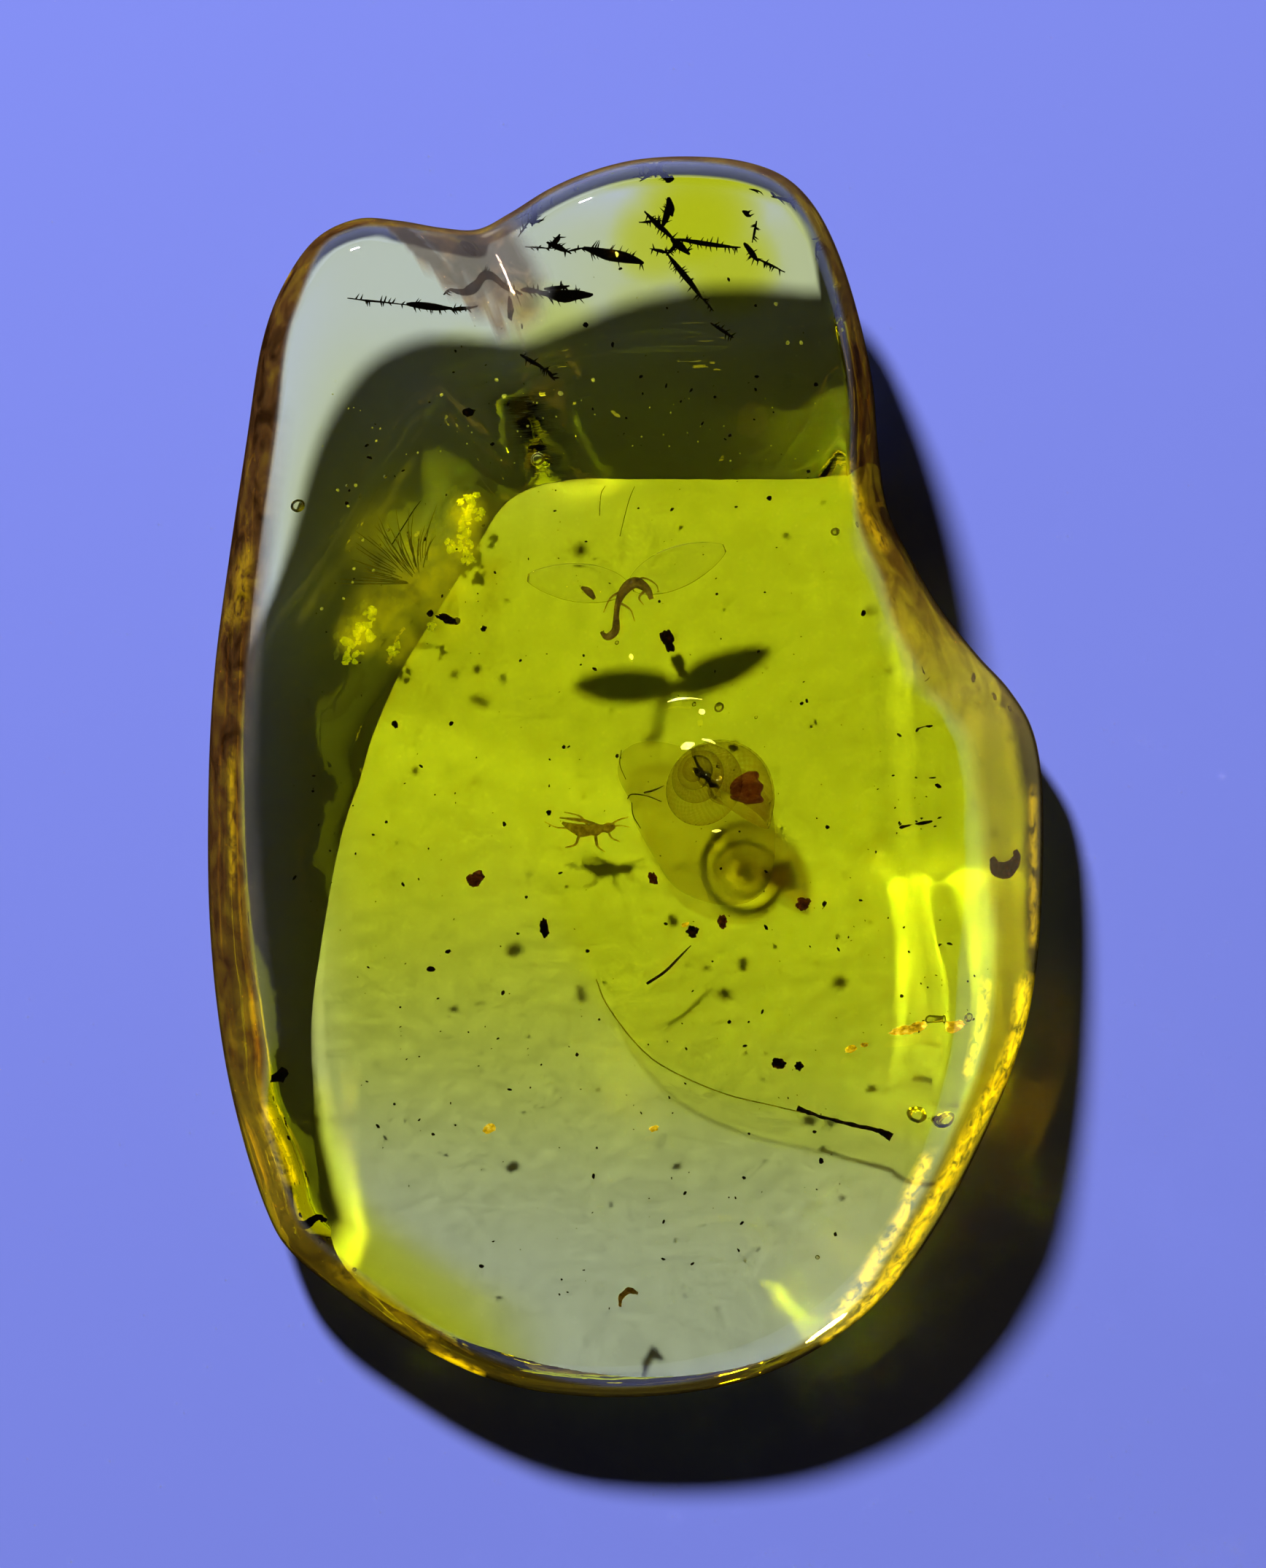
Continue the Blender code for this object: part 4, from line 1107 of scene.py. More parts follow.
# ---------------------------------------------------------------- the snail
@dataclass
class Snail:
    """The coiled shell, open at its mouth, with the dried body drawn back into it."""

    seal: Seal
    seen_at: Spot = (3.2, -0.63, 4.7)
    axis: Spot = (-0.42, 0.42, 0.80)
    spin_degrees: float = 103.0
    whorls: float = 3.9
    whorl_growth: float = 1.5
    coil_radius: float = 0.85
    tube_radius: float = 1.15
    spire_height: float = 2.2
    descent_growth: float = 2.2
    wall: float = 0.07
    mouth_depth: float = 0.42  # in turns
    body_turns: tuple[float, float] = (0.04, 0.17)
    # Outline, seen from above, of a tinted film laid low under the snail as its painted shadow.
    painted_veil: tuple[tuple[float, float], ...] = (
        (-0.26, 0.12), (0.19, -0.82), (0.31, -1.45), (1.01, -2.72), (1.70, -3.66), (2.84, -4.17),
        (3.85, -4.23), (4.60, -3.85), (4.98, -3.03), (5.05, -1.77), (4.8, -0.6), (3.9, 0.4),
        (2.4, 1.0), (0.8, 1.3), (-0.1, 0.95),
    )  # fmt: skip
    painted_shadow_height: float = 1.2
    painted_shadow_thickness: float = 0.03
    sides: int = 40
    rings_per_whorl: int = 46
    finish: HornyShell = field(default_factory=HornyShell)
    placement: Matrix = field(init=False)

    def __post_init__(self) -> None:
        """Turns the shell's own frame, with its spire along +Z, to how it lies in the amber."""
        middle = Matrix.Translation(self.seal(*self.seen_at))
        upright = Vector(self.axis).normalized().to_track_quat("Z", "Y").to_matrix().to_4x4()
        spin = Matrix.Rotation(math.radians(self.spin_degrees), 4, "Z")
        self.placement = middle @ upright @ spin

    def whorl(self, turns: float) -> tuple[Vector, float, Vector]:
        """Finds the tube's middle, radius and outward direction, turns back from the lip."""
        size = self.whorl_growth**-turns
        angle = 2 * math.pi * turns
        out = Vector((math.cos(angle), math.sin(angle), 0))
        rise = self.spire_height * (1 - self.descent_growth**-turns)
        return out * self.coil_radius * size + Vector((0, 0, rise)), self.tube_radius * size, out

    def ring(
        self, bm: bmesh.types.BMesh, growth: bmesh.types.BMLayerItem, turns: float, inset: float
    ) -> list[bmesh.types.BMVert]:
        """Adds one ring of the shell's tube.

        Args:
            bm: The geometry that gets the ring.
            growth: The float layer that holds the growth coordinate.
            turns: How far back from the lip the ring is.
            inset: How much smaller than the shell's outside its radius is.

        Returns:
            The ring's vertices.
        """
        middle, radius, out = self.whorl(turns)
        flare = 1 + 0.05 * smoothstep(0.05, 0.0, turns)
        vertices = []
        for k in range(self.sides):
            angle = 2 * math.pi * k / self.sides
            way = out * math.cos(angle) + Vector((0, 0, 1)) * math.sin(angle)
            spot = self.placement @ (middle + way * (radius * flare - inset))
            vertex = bm.verts.new(spot * MM)
            vertex[growth] = turns
            vertices.append(vertex)
        return vertices

    def build_shell(self) -> None:
        """Builds the thin shell with its whorls, its lip and the hollow behind the lip."""
        bm = bmesh.new()
        growth = bm.verts.layers.float.new("growth")
        outside = int(self.whorls * self.rings_per_whorl)
        inside = int(self.mouth_depth * self.rings_per_whorl)
        rings = [
            self.ring(bm, growth, self.mouth_depth * k / inside, self.wall)
            for k in range(inside, -1, -1)
        ]
        rings += [self.ring(bm, growth, self.whorls * k / outside, 0.0) for k in range(outside + 1)]
        join_rings(bm, rings)
        for last in (rings[0], rings[-1]):
            tip = bm.verts.new(sum((v.co for v in last), Vector()) / self.sides)
            tip[growth] = last[0][growth]
            for k in range(self.sides):
                bm.faces.new((last[k], last[(k + 1) % self.sides], tip))
        bmesh.ops.recalc_face_normals(bm, faces=bm.faces)
        piece = mesh_piece("shell_whorls", bm, self.finish.material())
        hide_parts("snail_shell")

    def build_body(self) -> None:
        """Builds the shrunken, wrinkled body inside the last whorl."""
        start, end = self.body_turns
        joints = []
        for k in range(9):
            turns = start + (end - start) * k / 8
            middle, radius, out = self.whorl(turns)
            spot = self.placement @ (middle + out * radius * 0.18)
            swell = 0.46 + 0.06 * math.sin(k * 1.9) if 0 < k < 8 else 0.25
            joints.append((*spot, radius * swell))
        bm = bmesh.new()
        add_tube(bm, joints, sides=20, steps=4)
        for vertex in bm.verts:
            fold, crease = (noise.noise(vertex.co / (size * MM)) for size in (0.16, 0.07))
            wrinkle = fold + 0.5 * crease
            vertex.co += Vector((0.03, -0.02, 0.05)) * wrinkle * MM
        piece = mesh_piece("dried_snail", bm, DRIED_BODY.material())
        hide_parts("snail_body")

    def build_painted_shadow(self) -> None:
        """Builds a thin tinted film low under the snail that paints in its shadow."""
        loop = [*self.painted_veil[-1:], *self.painted_veil, *self.painted_veil[:2]]
        chain = rounded(loop, 10)[10:-10]
        middle = sum((p for p in chain), Vector((0, 0))) / len(chain)
        bm = bmesh.new()
        rings = []
        for share in (1.0, 0.97, 0.9, 0.75, 0.55, 0.3):
            spots = [middle.lerp(p, share) for p in chain[:-1]]
            rings.append([bm.verts.new(self.seal(p.x, p.y, self.painted_shadow_height) * MM) for p in spots])
        join_rings(bm, rings)
        bm.faces.new(rings[-1])
        bm.normal_update()
        bmesh.ops.solidify(bm, geom=bm.faces, thickness=self.painted_shadow_thickness * MM)
        bmesh.ops.recalc_face_normals(bm, faces=bm.faces)
        # The film has no glow: its tint darkens what is seen through it, a painted shadow.
        cloud = HazeWithPaintedGlow(name="painted_snail_shadow", cast="#E8E2C8")
        piece = mesh_piece("painted_snail_shadow", bm, cloud.material())

    def build(self) -> None:
        """Builds the shell, the body and the painted shadow under them."""
        self.build_shell()
        self.build_body()
        self.build_painted_shadow()


# ---------------------------------------------------------------- insects
@dataclass
class LooseLegs:
    """Seven loose insect legs by the humps, with their thighs, shins and bristles."""

    seal: Seal
    height: float = 4.9
    seed: int = 5
    # How thick a link is along its length: share of the length, share of the thickest radius.
    spindle: tuple[tuple[float, float], ...] = (
        (0, 0.3), (0.15, 0.6), (0.4, 1), (0.65, 0.85), (0.88, 0.45), (1, 0.2),
    )  # fmt: skip

    def links(self) -> dict[str, list[tuple[float, float, float, float, float]]]:
        """Lists the links of each leg: both ends in plan and the thickest radius."""
        return {
            "insect_leg_1": [
                (-9.36, 16.18, -7.37, 15.96, 0.035), (-7.4, 15.98, -5.85, 15.84, 0.14),
                (-5.95, 15.8, -4.9, 15.97, 0.07),
            ],
            "insect_leg_2": [
                (-5.5, 17.61, -5.0, 17.39, 0.05), (-5.05, 17.42, -3.5, 16.3, 0.17),
                (-3.55, 16.45, -2.85, 16.43, 0.09), (-2.95, 16.38, -1.08, 16.3, 0.19),
                (-2.8, 16.5, -1.9, 16.6, 0.08),
            ],
            "insect_leg_3": [
                (-3.62, 18.99, -3.1, 18.65, 0.04), (-3.1, 18.6, -2.24, 18.33, 0.07),
                (-2.68, 18.06, -1.85, 17.67, 0.1), (-1.95, 17.75, -1.4, 17.87, 0.05),
                (-1.45, 17.87, 0.63, 17.34, 0.21),
            ],
            "insect_leg_4": [
                (0.19, 20.01, 1.1, 20.15, 0.05), (1.15, 20.32, 1.5, 19.5, 0.13),
                (1.42, 19.85, 1.57, 18.94, 0.15),
            ],
            "insect_leg_5": [
                (0.63, 19.1, 1.75, 18.0, 0.1), (1.6, 18.17, 3.84, 17.87, 0.09),
                (1.5, 18.2, 2.15, 17.65, 0.15), (1.8, 18.1, 1.35, 17.6, 0.08),
                (1.45, 17.7, 0.8, 17.84, 0.06), (1.42, 17.65, 2.62, 16.12, 0.12),
                (2.55, 16.2, 2.95, 15.75, 0.04), (2.84, 15.35, 3.62, 14.85, 0.07),
            ],
            "insect_leg_6": [
                (3.92, 19.13, 4.2, 18.92, 0.08), (4.4, 18.8, 4.25, 18.05, 0.05),
                (3.95, 18.05, 4.45, 17.4, 0.11), (4.35, 17.55, 5.35, 17.05, 0.05),
            ],
            "insect_leg_7": [
                (-3.56, 14.3, -2.6, 13.72, 0.08), (-2.65, 13.78, -2.38, 13.4, 0.06),
            ],
        }  # fmt: skip

    def build(self) -> None:
        """Builds each leg from spindle-shaped links, with short bristles standing off them."""
        dice = random.Random(self.seed)
        material = CHITIN.material()
        for name, links in self.links().items():
            bm = bmesh.new()
            for x0, y0, x1, y1, thickest in links:
                low, high = self.seal(x0, y0, self.height), self.seal(x1, y1, self.height)
                joints = []
                for share, swell in self.spindle:
                    wobble = Vector((dice.uniform(-1, 1), dice.uniform(-1, 1), 0)) * thickest * 0.15
                    radius = thickest * swell * dice.uniform(0.85, 1.1)
                    joints.append((*(low.lerp(high, share) + wobble), max(radius, 0.02)))
                add_tube(bm, joints, sides=10, steps=3)
                for _ in range(max(3, int((high - low).length * 9))):
                    root = low.lerp(high, dice.uniform(0.1, 0.95))
                    along = (high - low).normalized()
                    way = (high - low).cross(Vector((0, 0, 1))).normalized()
                    way = way * dice.choice((-1, 1)) + along * dice.uniform(0, 0.8)
                    tip = root + way.normalized() * (thickest + dice.uniform(0.06, 0.2))
                    tip.z += dice.uniform(-0.1, 0.1)
                    spine = [(*root, 0.035), (*root.lerp(tip, 0.6), 0.02), (*tip, 0.004)]
                    add_tube(bm, spine, sides=5, steps=2)
            piece = mesh_piece("bristly_" + name, bm, material)
            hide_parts(name)


@dataclass
class Gnat:
    """The two-winged fly above the snail: a bent body, spread clear wings and a hooked tail."""

    seal: Seal
    height: float = 6.3
    wing_pitch_degrees: float = -17.0
    wing_axis: Spot = (-0.905, -0.425, 0)
    wing_steps: int = 40
    wing_sides: int = 24

    def build_body(self) -> None:
        """Builds the body, its legs and its feelers."""
        z = self.height
        chains = [
            [(0.86, 6.05, z, 0.08), (0.7, 6.4, z, 0.13), (0.3, 6.6, z, 0.2), (-0.05, 6.35, z, 0.17),
             (-0.25, 5.95, z - 0.1, 0.11), (-0.32, 5.5, z - 0.2, 0.1), (-0.35, 5.0, z - 0.3, 0.14),
             (-0.62, 4.78, z - 0.3, 0.12), (-0.84, 4.95, z - 0.3, 0.04)],
            [(-1.5, 6.45, z, 0.04), (-1.25, 6.3, z, 0.13), (-1.05, 6.05, z, 0.06)],
            [(0.3, 6.6, z, 0.05), (0.6, 6.75, z, 0.03), (1.0, 6.55, z, 0.02), (1.1, 6.3, z, 0.012)],
            [(-0.05, 6.35, z, 0.05), (-0.5, 6.1, z, 0.03), (-0.75, 5.6, z, 0.012)],
            [(-0.25, 5.95, z - 0.1, 0.05), (0.15, 5.7, z, 0.025), (0.3, 5.3, z, 0.012)],
            [(0.7, 6.4, z, 0.05), (0.45, 6.1, z, 0.03), (0.6, 5.85, z, 0.012)],
        ]  # fmt: skip
        bm = bmesh.new()
        for chain in chains:
            add_sealed_tube(bm, self.seal, chain, sides=12, steps=5)
        piece = mesh_piece("gnat_body", bm, GNAT_SKIN.material())
        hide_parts("gnat")

    def build_wing(self, name: str, root: Spot, tip: Spot, width: float) -> None:
        """Builds one wing as a film of gas, which faces inwards, between its two skins.

        Args:
            name: The wing's name.
            root: Where it leaves the body, as seen from above.
            tip: Its far end.
            width: Its greatest width in millimetres.
        """
        low, high = self.seal(*root), self.seal(*tip)
        middle, along = (low + high) / 2, high - low
        turn = along.to_track_quat("X", "Z").to_matrix()
        pitch = Matrix.Rotation(math.radians(self.wing_pitch_degrees), 3, Vector(self.wing_axis))
        bm = bmesh.new()
        rings = []
        for k in range(1, self.wing_steps):
            share = k / self.wing_steps
            half = width / 2 * math.sin(math.pi * share**0.85) ** 0.62
            ring = []
            for side in range(self.wing_sides):
                angle = 2 * math.pi * side / self.wing_sides
                flat = Vector(
                    (
                        (share - 0.5) * along.length,
                        half * math.cos(angle),
                        0.03 * math.sin(angle) * min(1.0, half / 0.2),
                    )
                )
                ring.append(bm.verts.new((middle + pitch @ (turn @ flat)) * MM))
            rings.append(ring)
        join_rings(bm, rings, capped=True)
        bmesh.ops.recalc_face_normals(bm, faces=bm.faces)
        bmesh.ops.reverse_faces(bm, faces=bm.faces)
        piece = mesh_piece(name, bm, GasFilm("wing_film", "#FFFFFF").material())

    def build(self) -> None:
        """Builds the body and both wings."""
        z = self.height
        self.build_body()
        self.build_wing("gnat_wing_right", (0.1, 6.45, z), (3.4, 7.8, z + 0.1), 1.45)
        self.build_wing("gnat_wing_left", (0.15, 6.4, z), (-3.4, 6.8, z - 0.1), 1.35)


@dataclass
class BarkLouse:
    """The small insect beside the snail: a spindle body, bent legs, two feelers, folded wings."""

    seal: Seal
    height: float = 2.55

    def build(self) -> None:
        """Builds the insect as one piece."""
        z = self.height
        chains = [
            [(-2.15, -1.45, z, 0.04), (-1.85, -1.6, z, 0.14), (-1.5, -1.72, z, 0.21),
             (-1.2, -1.7, z, 0.18), (-1.0, -1.68, z, 0.21), (-0.78, -1.64, z, 0.12),
             (-0.6, -1.62, z, 0.17), (-0.38, -1.56, z, 0.08)],
            [(-1.5, -1.72, z, 0.05), (-1.6, -1.95, z, 0.05), (-1.72, -2.2, z, 0.035),
             (-2.05, -2.3, z, 0.02)],
            [(-1.05, -1.68, z, 0.05), (-1.0, -2.1, z, 0.05), (-0.92, -2.3, z, 0.03),
             (-0.7, -2.45, z, 0.015)],
            [(-0.62, -1.62, z, 0.04), (-0.5, -1.95, z, 0.03), (-0.2, -2.1, z, 0.02)],
            [(-0.62, -1.62, z, 0.04), (-0.3, -1.38, z, 0.03), (0.08, -1.25, z, 0.015)],
            [(-0.62, -1.62, z, 0.04), (-0.2, -1.55, z, 0.02), (0.15, -1.62, z, 0.012)],
            [(-1.05, -1.5, z, 0.05), (-1.5, -1.38, z, 0.06), (-2.25, -1.28, z, 0.02)],
            [(-1.3, -1.55, z, 0.04), (-1.55, -1.25, z, 0.03), (-2.1, -1.1, z, 0.015)],
            [(-1.6, -1.6, z, 0.04), (-2.3, -1.62, z, 0.02), (-2.75, -1.42, z, 0.012)],
        ]  # fmt: skip
        bm = bmesh.new()
        for chain in chains:
            add_sealed_tube(bm, self.seal, chain, sides=12, steps=5)
        piece = mesh_piece("bark_louse_whole", bm, LOUSE_SKIN.material())
        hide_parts("bark_louse")


# ---------------------------------------------------------------- litter, specks and gas
@dataclass
class ForestLitter:
    """The curled frass, seed coat, bud scale, plant fibre, bark chips and dust."""

    seal: Seal
    seed: int = 11
    dust_count: int = 420

    def build_curls(self) -> None:
        """Builds the four curled or stringy pieces."""
        curls = {
            "curled_frass": (BROWN_BARK, Slot.BARK, [
                (12.35, -2.65, 3.6, 0.12), (12.5, -3.0, 3.6, 0.26), (12.9, -3.05, 3.6, 0.28),
                (13.2, -2.7, 3.6, 0.22), (13.15, -2.4, 3.6, 0.1),
            ]),
            "seed_coat": (HUSK, Slot.HUSK, [
                (-0.2, -17.85, 2.9, 0.04), (-0.15, -17.5, 2.9, 0.09), (0.1, -17.3, 2.9, 0.11),
                (0.4, -17.4, 2.9, 0.04),
            ]),
            "bud_scale": (BARK, Slot.BARK, [
                (-11.35, -14.9, 2.9, 0.04), (-10.9, -15.1, 2.9, 0.14), (-10.5, -14.85, 2.9, 0.08),
                (-10.15, -14.95, 2.9, 0.03),
            ]),
            "plant_fibre": (BARK, Slot.BARK, [
                (5.8, -11.1, 3.2, 0.10), (6.6, -11.4, 3.2, 0.05), (7.6, -11.65, 3.2, 0.06),
                (8.5, -11.85, 3.2, 0.09), (9.0, -12.1, 3.2, 0.15),
            ]),
        }  # fmt: skip
        for name, (finish, slot, chain) in curls.items():
            bm = bmesh.new()
            add_sealed_tube(bm, self.seal, chain, sides=14, steps=8)
            bm.normal_update()
            for vertex in bm.verts:
                lump, crumb = (noise.noise(vertex.co / (size * MM)) for size in (0.2, 0.08))
                vertex.co += vertex.normal * (lump + 0.5 * crumb) * 0.04 * MM
            piece = mesh_piece("fine_" + name, bm, finish.material())
            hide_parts(name)

    def build_chips(self) -> None:
        """Builds the ten bark chips as rough flakes."""
        dice = random.Random(self.seed)
        chips = [
            ((1.42, 4.72, 1.5), (0.36, 0.66, 0.25), 0.35, BARK),
            ((-2.75, -5.0, 4.9), (0.26, 0.58, 0.25), 0.1, BARK),
            ((-5.07, -3.34, 5.1), (0.55, 0.45, 0.3), 0.6, BROWN_BARK),
            ((2.25, -5.12, 4.45), (0.36, 0.34, 0.3), 0.2, BARK),
            ((3.26, -4.8, 2.9), (0.25, 0.42, 0.25), 0.1, BROWN_BARK),
            ((5.95, -4.17, 5.4), (0.45, 0.35, 0.3), 0.4, BROWN_BARK),
            ((0.91, -3.33, 2.8), (0.24, 0.4, 0.25), 0.5, BROWN_BARK),
            ((5.15, -9.56, 4.4), (0.42, 0.36, 0.3), 0.3, BARK),
            ((5.84, -9.66, 4.4), (0.26, 0.3, 0.25), 0.2, BARK),
            ((-6.05, 5.4, 4.6), (0.6, 0.22, 0.22), -0.4, BARK),
        ]
        for number, (seen_at, size, angle, finish) in enumerate(chips, 1):
            bm = bmesh.new()
            turn = Matrix.Rotation(angle + dice.uniform(-0.1, 0.1), 3, "Z")
            add_blob(bm, self.seal(*seen_at), size, turn, 0.55, number, detail=4)
            piece = mesh_piece(f"rough_chip_{number}", bm, finish.material())
            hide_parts(f"bark_chip_{number}")

    def build_dust(self) -> None:
        """Builds the fine dark dust, and the few specks that catch the eye, as one piece each."""
        dice = random.Random(self.seed + 1)
        named = [
            (-2.6, -1.1, 0.16), (-7.8, 1.85, 0.26), (-5.9, 1.9, 0.13), (-4.1, -1.5, 0.13),
            (4.85, 9.5, 0.16), (8.0, 5.6, 0.22), (-4.8, 5.1, 0.16), (6.7, -4.2, 0.14),
            (-6.6, -6.4, 0.2), (-6.0, -5.8, 0.14), (-1.3, -5.8, 0.12), (3.5, -8.2, 0.12),
            (4.15, -8.2, 0.1), (-2.1, 1.1, 0.12), (-0.3, 0.8, 0.12), (1.9, 1.1, 0.1),
            (6.8, -1.6, 0.12), (-4.15, -7.2, 0.13), (-1.65, -9.3, 0.14), (6.6, -12.9, 0.16),
            (-5.3, 12.4, 0.3), (-1.35, 15.3, 0.2), (-3.9, 15.97, 0.36), (-6.6, 5.6, 0.24),
            (-5.7, 5.35, 0.24), (-4.83, 5.08, 0.16), (3.0, 12.9, 0.1), (6.4, 13.3, 0.14),
            (0.5, 13.6, 0.1), (-4.5, 11.3, 0.12), (-9.4, 9.3, 0.14), (11.75, 3.45, 0.3),
            (12.45, 2.8, 0.25), (13.0, 2.4, 0.2), (-11.65, -10.0, 0.4), (3.2, -3.0, 0.1),
            (7.1, -15.4, 0.12), (-4.9, -16.5, 0.12), (2.0, -14.0, 0.1), (9.3, -7.3, 0.12),
        ]  # fmt: skip
        bm = bmesh.new()
        for number, (x, y, size) in enumerate(named):
            turn = Matrix.Rotation(dice.uniform(0, math.pi), 3, "Z")
            shape = (size * dice.uniform(0.7, 1.5), size, size * 0.8)
            add_blob(bm, self.seal(x, y, dice.uniform(2.0, 4.0)), shape, turn, 0.5, number, 2)
        for number in range(self.dust_count):
            bearing, reach = dice.uniform(0, 2 * math.pi), math.sqrt(dice.random())
            x, y = 11.5 * reach * math.cos(bearing), 18.0 * reach * math.sin(bearing)
            if x > 7.0 and y > 4.0:
                continue
            size = 0.03 + 0.09 * dice.random() ** 3
            turn = Matrix.Rotation(dice.uniform(0, math.pi), 3, "Z")
            shape = (size * dice.uniform(0.8, 2.2), size, size)
            height = dice.uniform(0.8, 4.0)
            add_blob(bm, self.seal(x, y, height), shape, turn, 0.4, number, 1)
        piece = mesh_piece("resin_dust", bm, BARK.material())
        flecks = bmesh.new()
        for number, (x, y, size) in enumerate(
            [(-4.6, -11.8, 0.36), (0.95, -11.8, 0.24), (7.6, -9.1, 0.3), (2.0, -4.9, 0.2)]
        ):
            turn = Matrix.Rotation(0.4, 3, "Z")
            shape = (size * 1.3, size * 0.8, size * 0.4)
            add_blob(flecks, self.seal(x, y, 3.0), shape, turn, 0.4, number, 3)
        # The flecks share the crack's finish, with its painted glow.
        piece = mesh_piece("orange_flecks", flecks, GOLD_CRACK.material())

    def build_hairs(self) -> None:
        """Builds the loose hairs and filaments."""
        hairs = [
            [(0.7, -6.9, 3.0, 0.05), (1.3, -6.5, 3.0, 0.05), (1.8, -6.0, 3.0, 0.04),
             (2.2, -5.6, 3.0, 0.02)],
            [(0.6, -0.45, 4.6, 0.03), (0.95, -0.35, 4.6, 0.03), (1.28, -0.2, 4.6, 0.01)],
            [(0.05, -0.65, 4.6, 0.02), (0.2, -0.5, 4.6, 0.02), (0.7, -0.55, 4.6, 0.02),
             (1.2, -0.75, 4.6, 0.015)],
            [(0.2, -0.77, 4.6, 0.015), (0.25, -1.2, 4.6, 0.02), (0.5, -1.65, 4.6, 0.015)],
            [(-0.15, 1.0, 4.4, 0.012), (-0.2, 0.5, 4.4, 0.014), (0.0, 0.0, 4.4, 0.012)],
            [(-7.9, 7.9, 3.6, 0.02), (-7.2, 9.0, 3.6, 0.02), (-6.9, 9.4, 3.6, 0.01)],
            [(-0.2, 8.2, 3.0, 0.012), (0.1, 9.4, 3.0, 0.014), (0.3, 9.9, 3.0, 0.01)],
            [(-0.9, 8.9, 3.0, 0.012), (-0.85, 9.6, 3.0, 0.014), (-0.7, 9.9, 3.0, 0.01)],
        ]  # fmt: skip
        bm = bmesh.new()
        for hair in hairs:
            add_sealed_tube(bm, self.seal, hair, sides=6, steps=6)
        piece = mesh_piece("loose_hairs", bm, CHITIN.material())

    def build(self) -> None:
        """Builds all the litter."""
        self.build_curls()
        self.build_chips()
        self.build_dust()
        self.build_hairs()


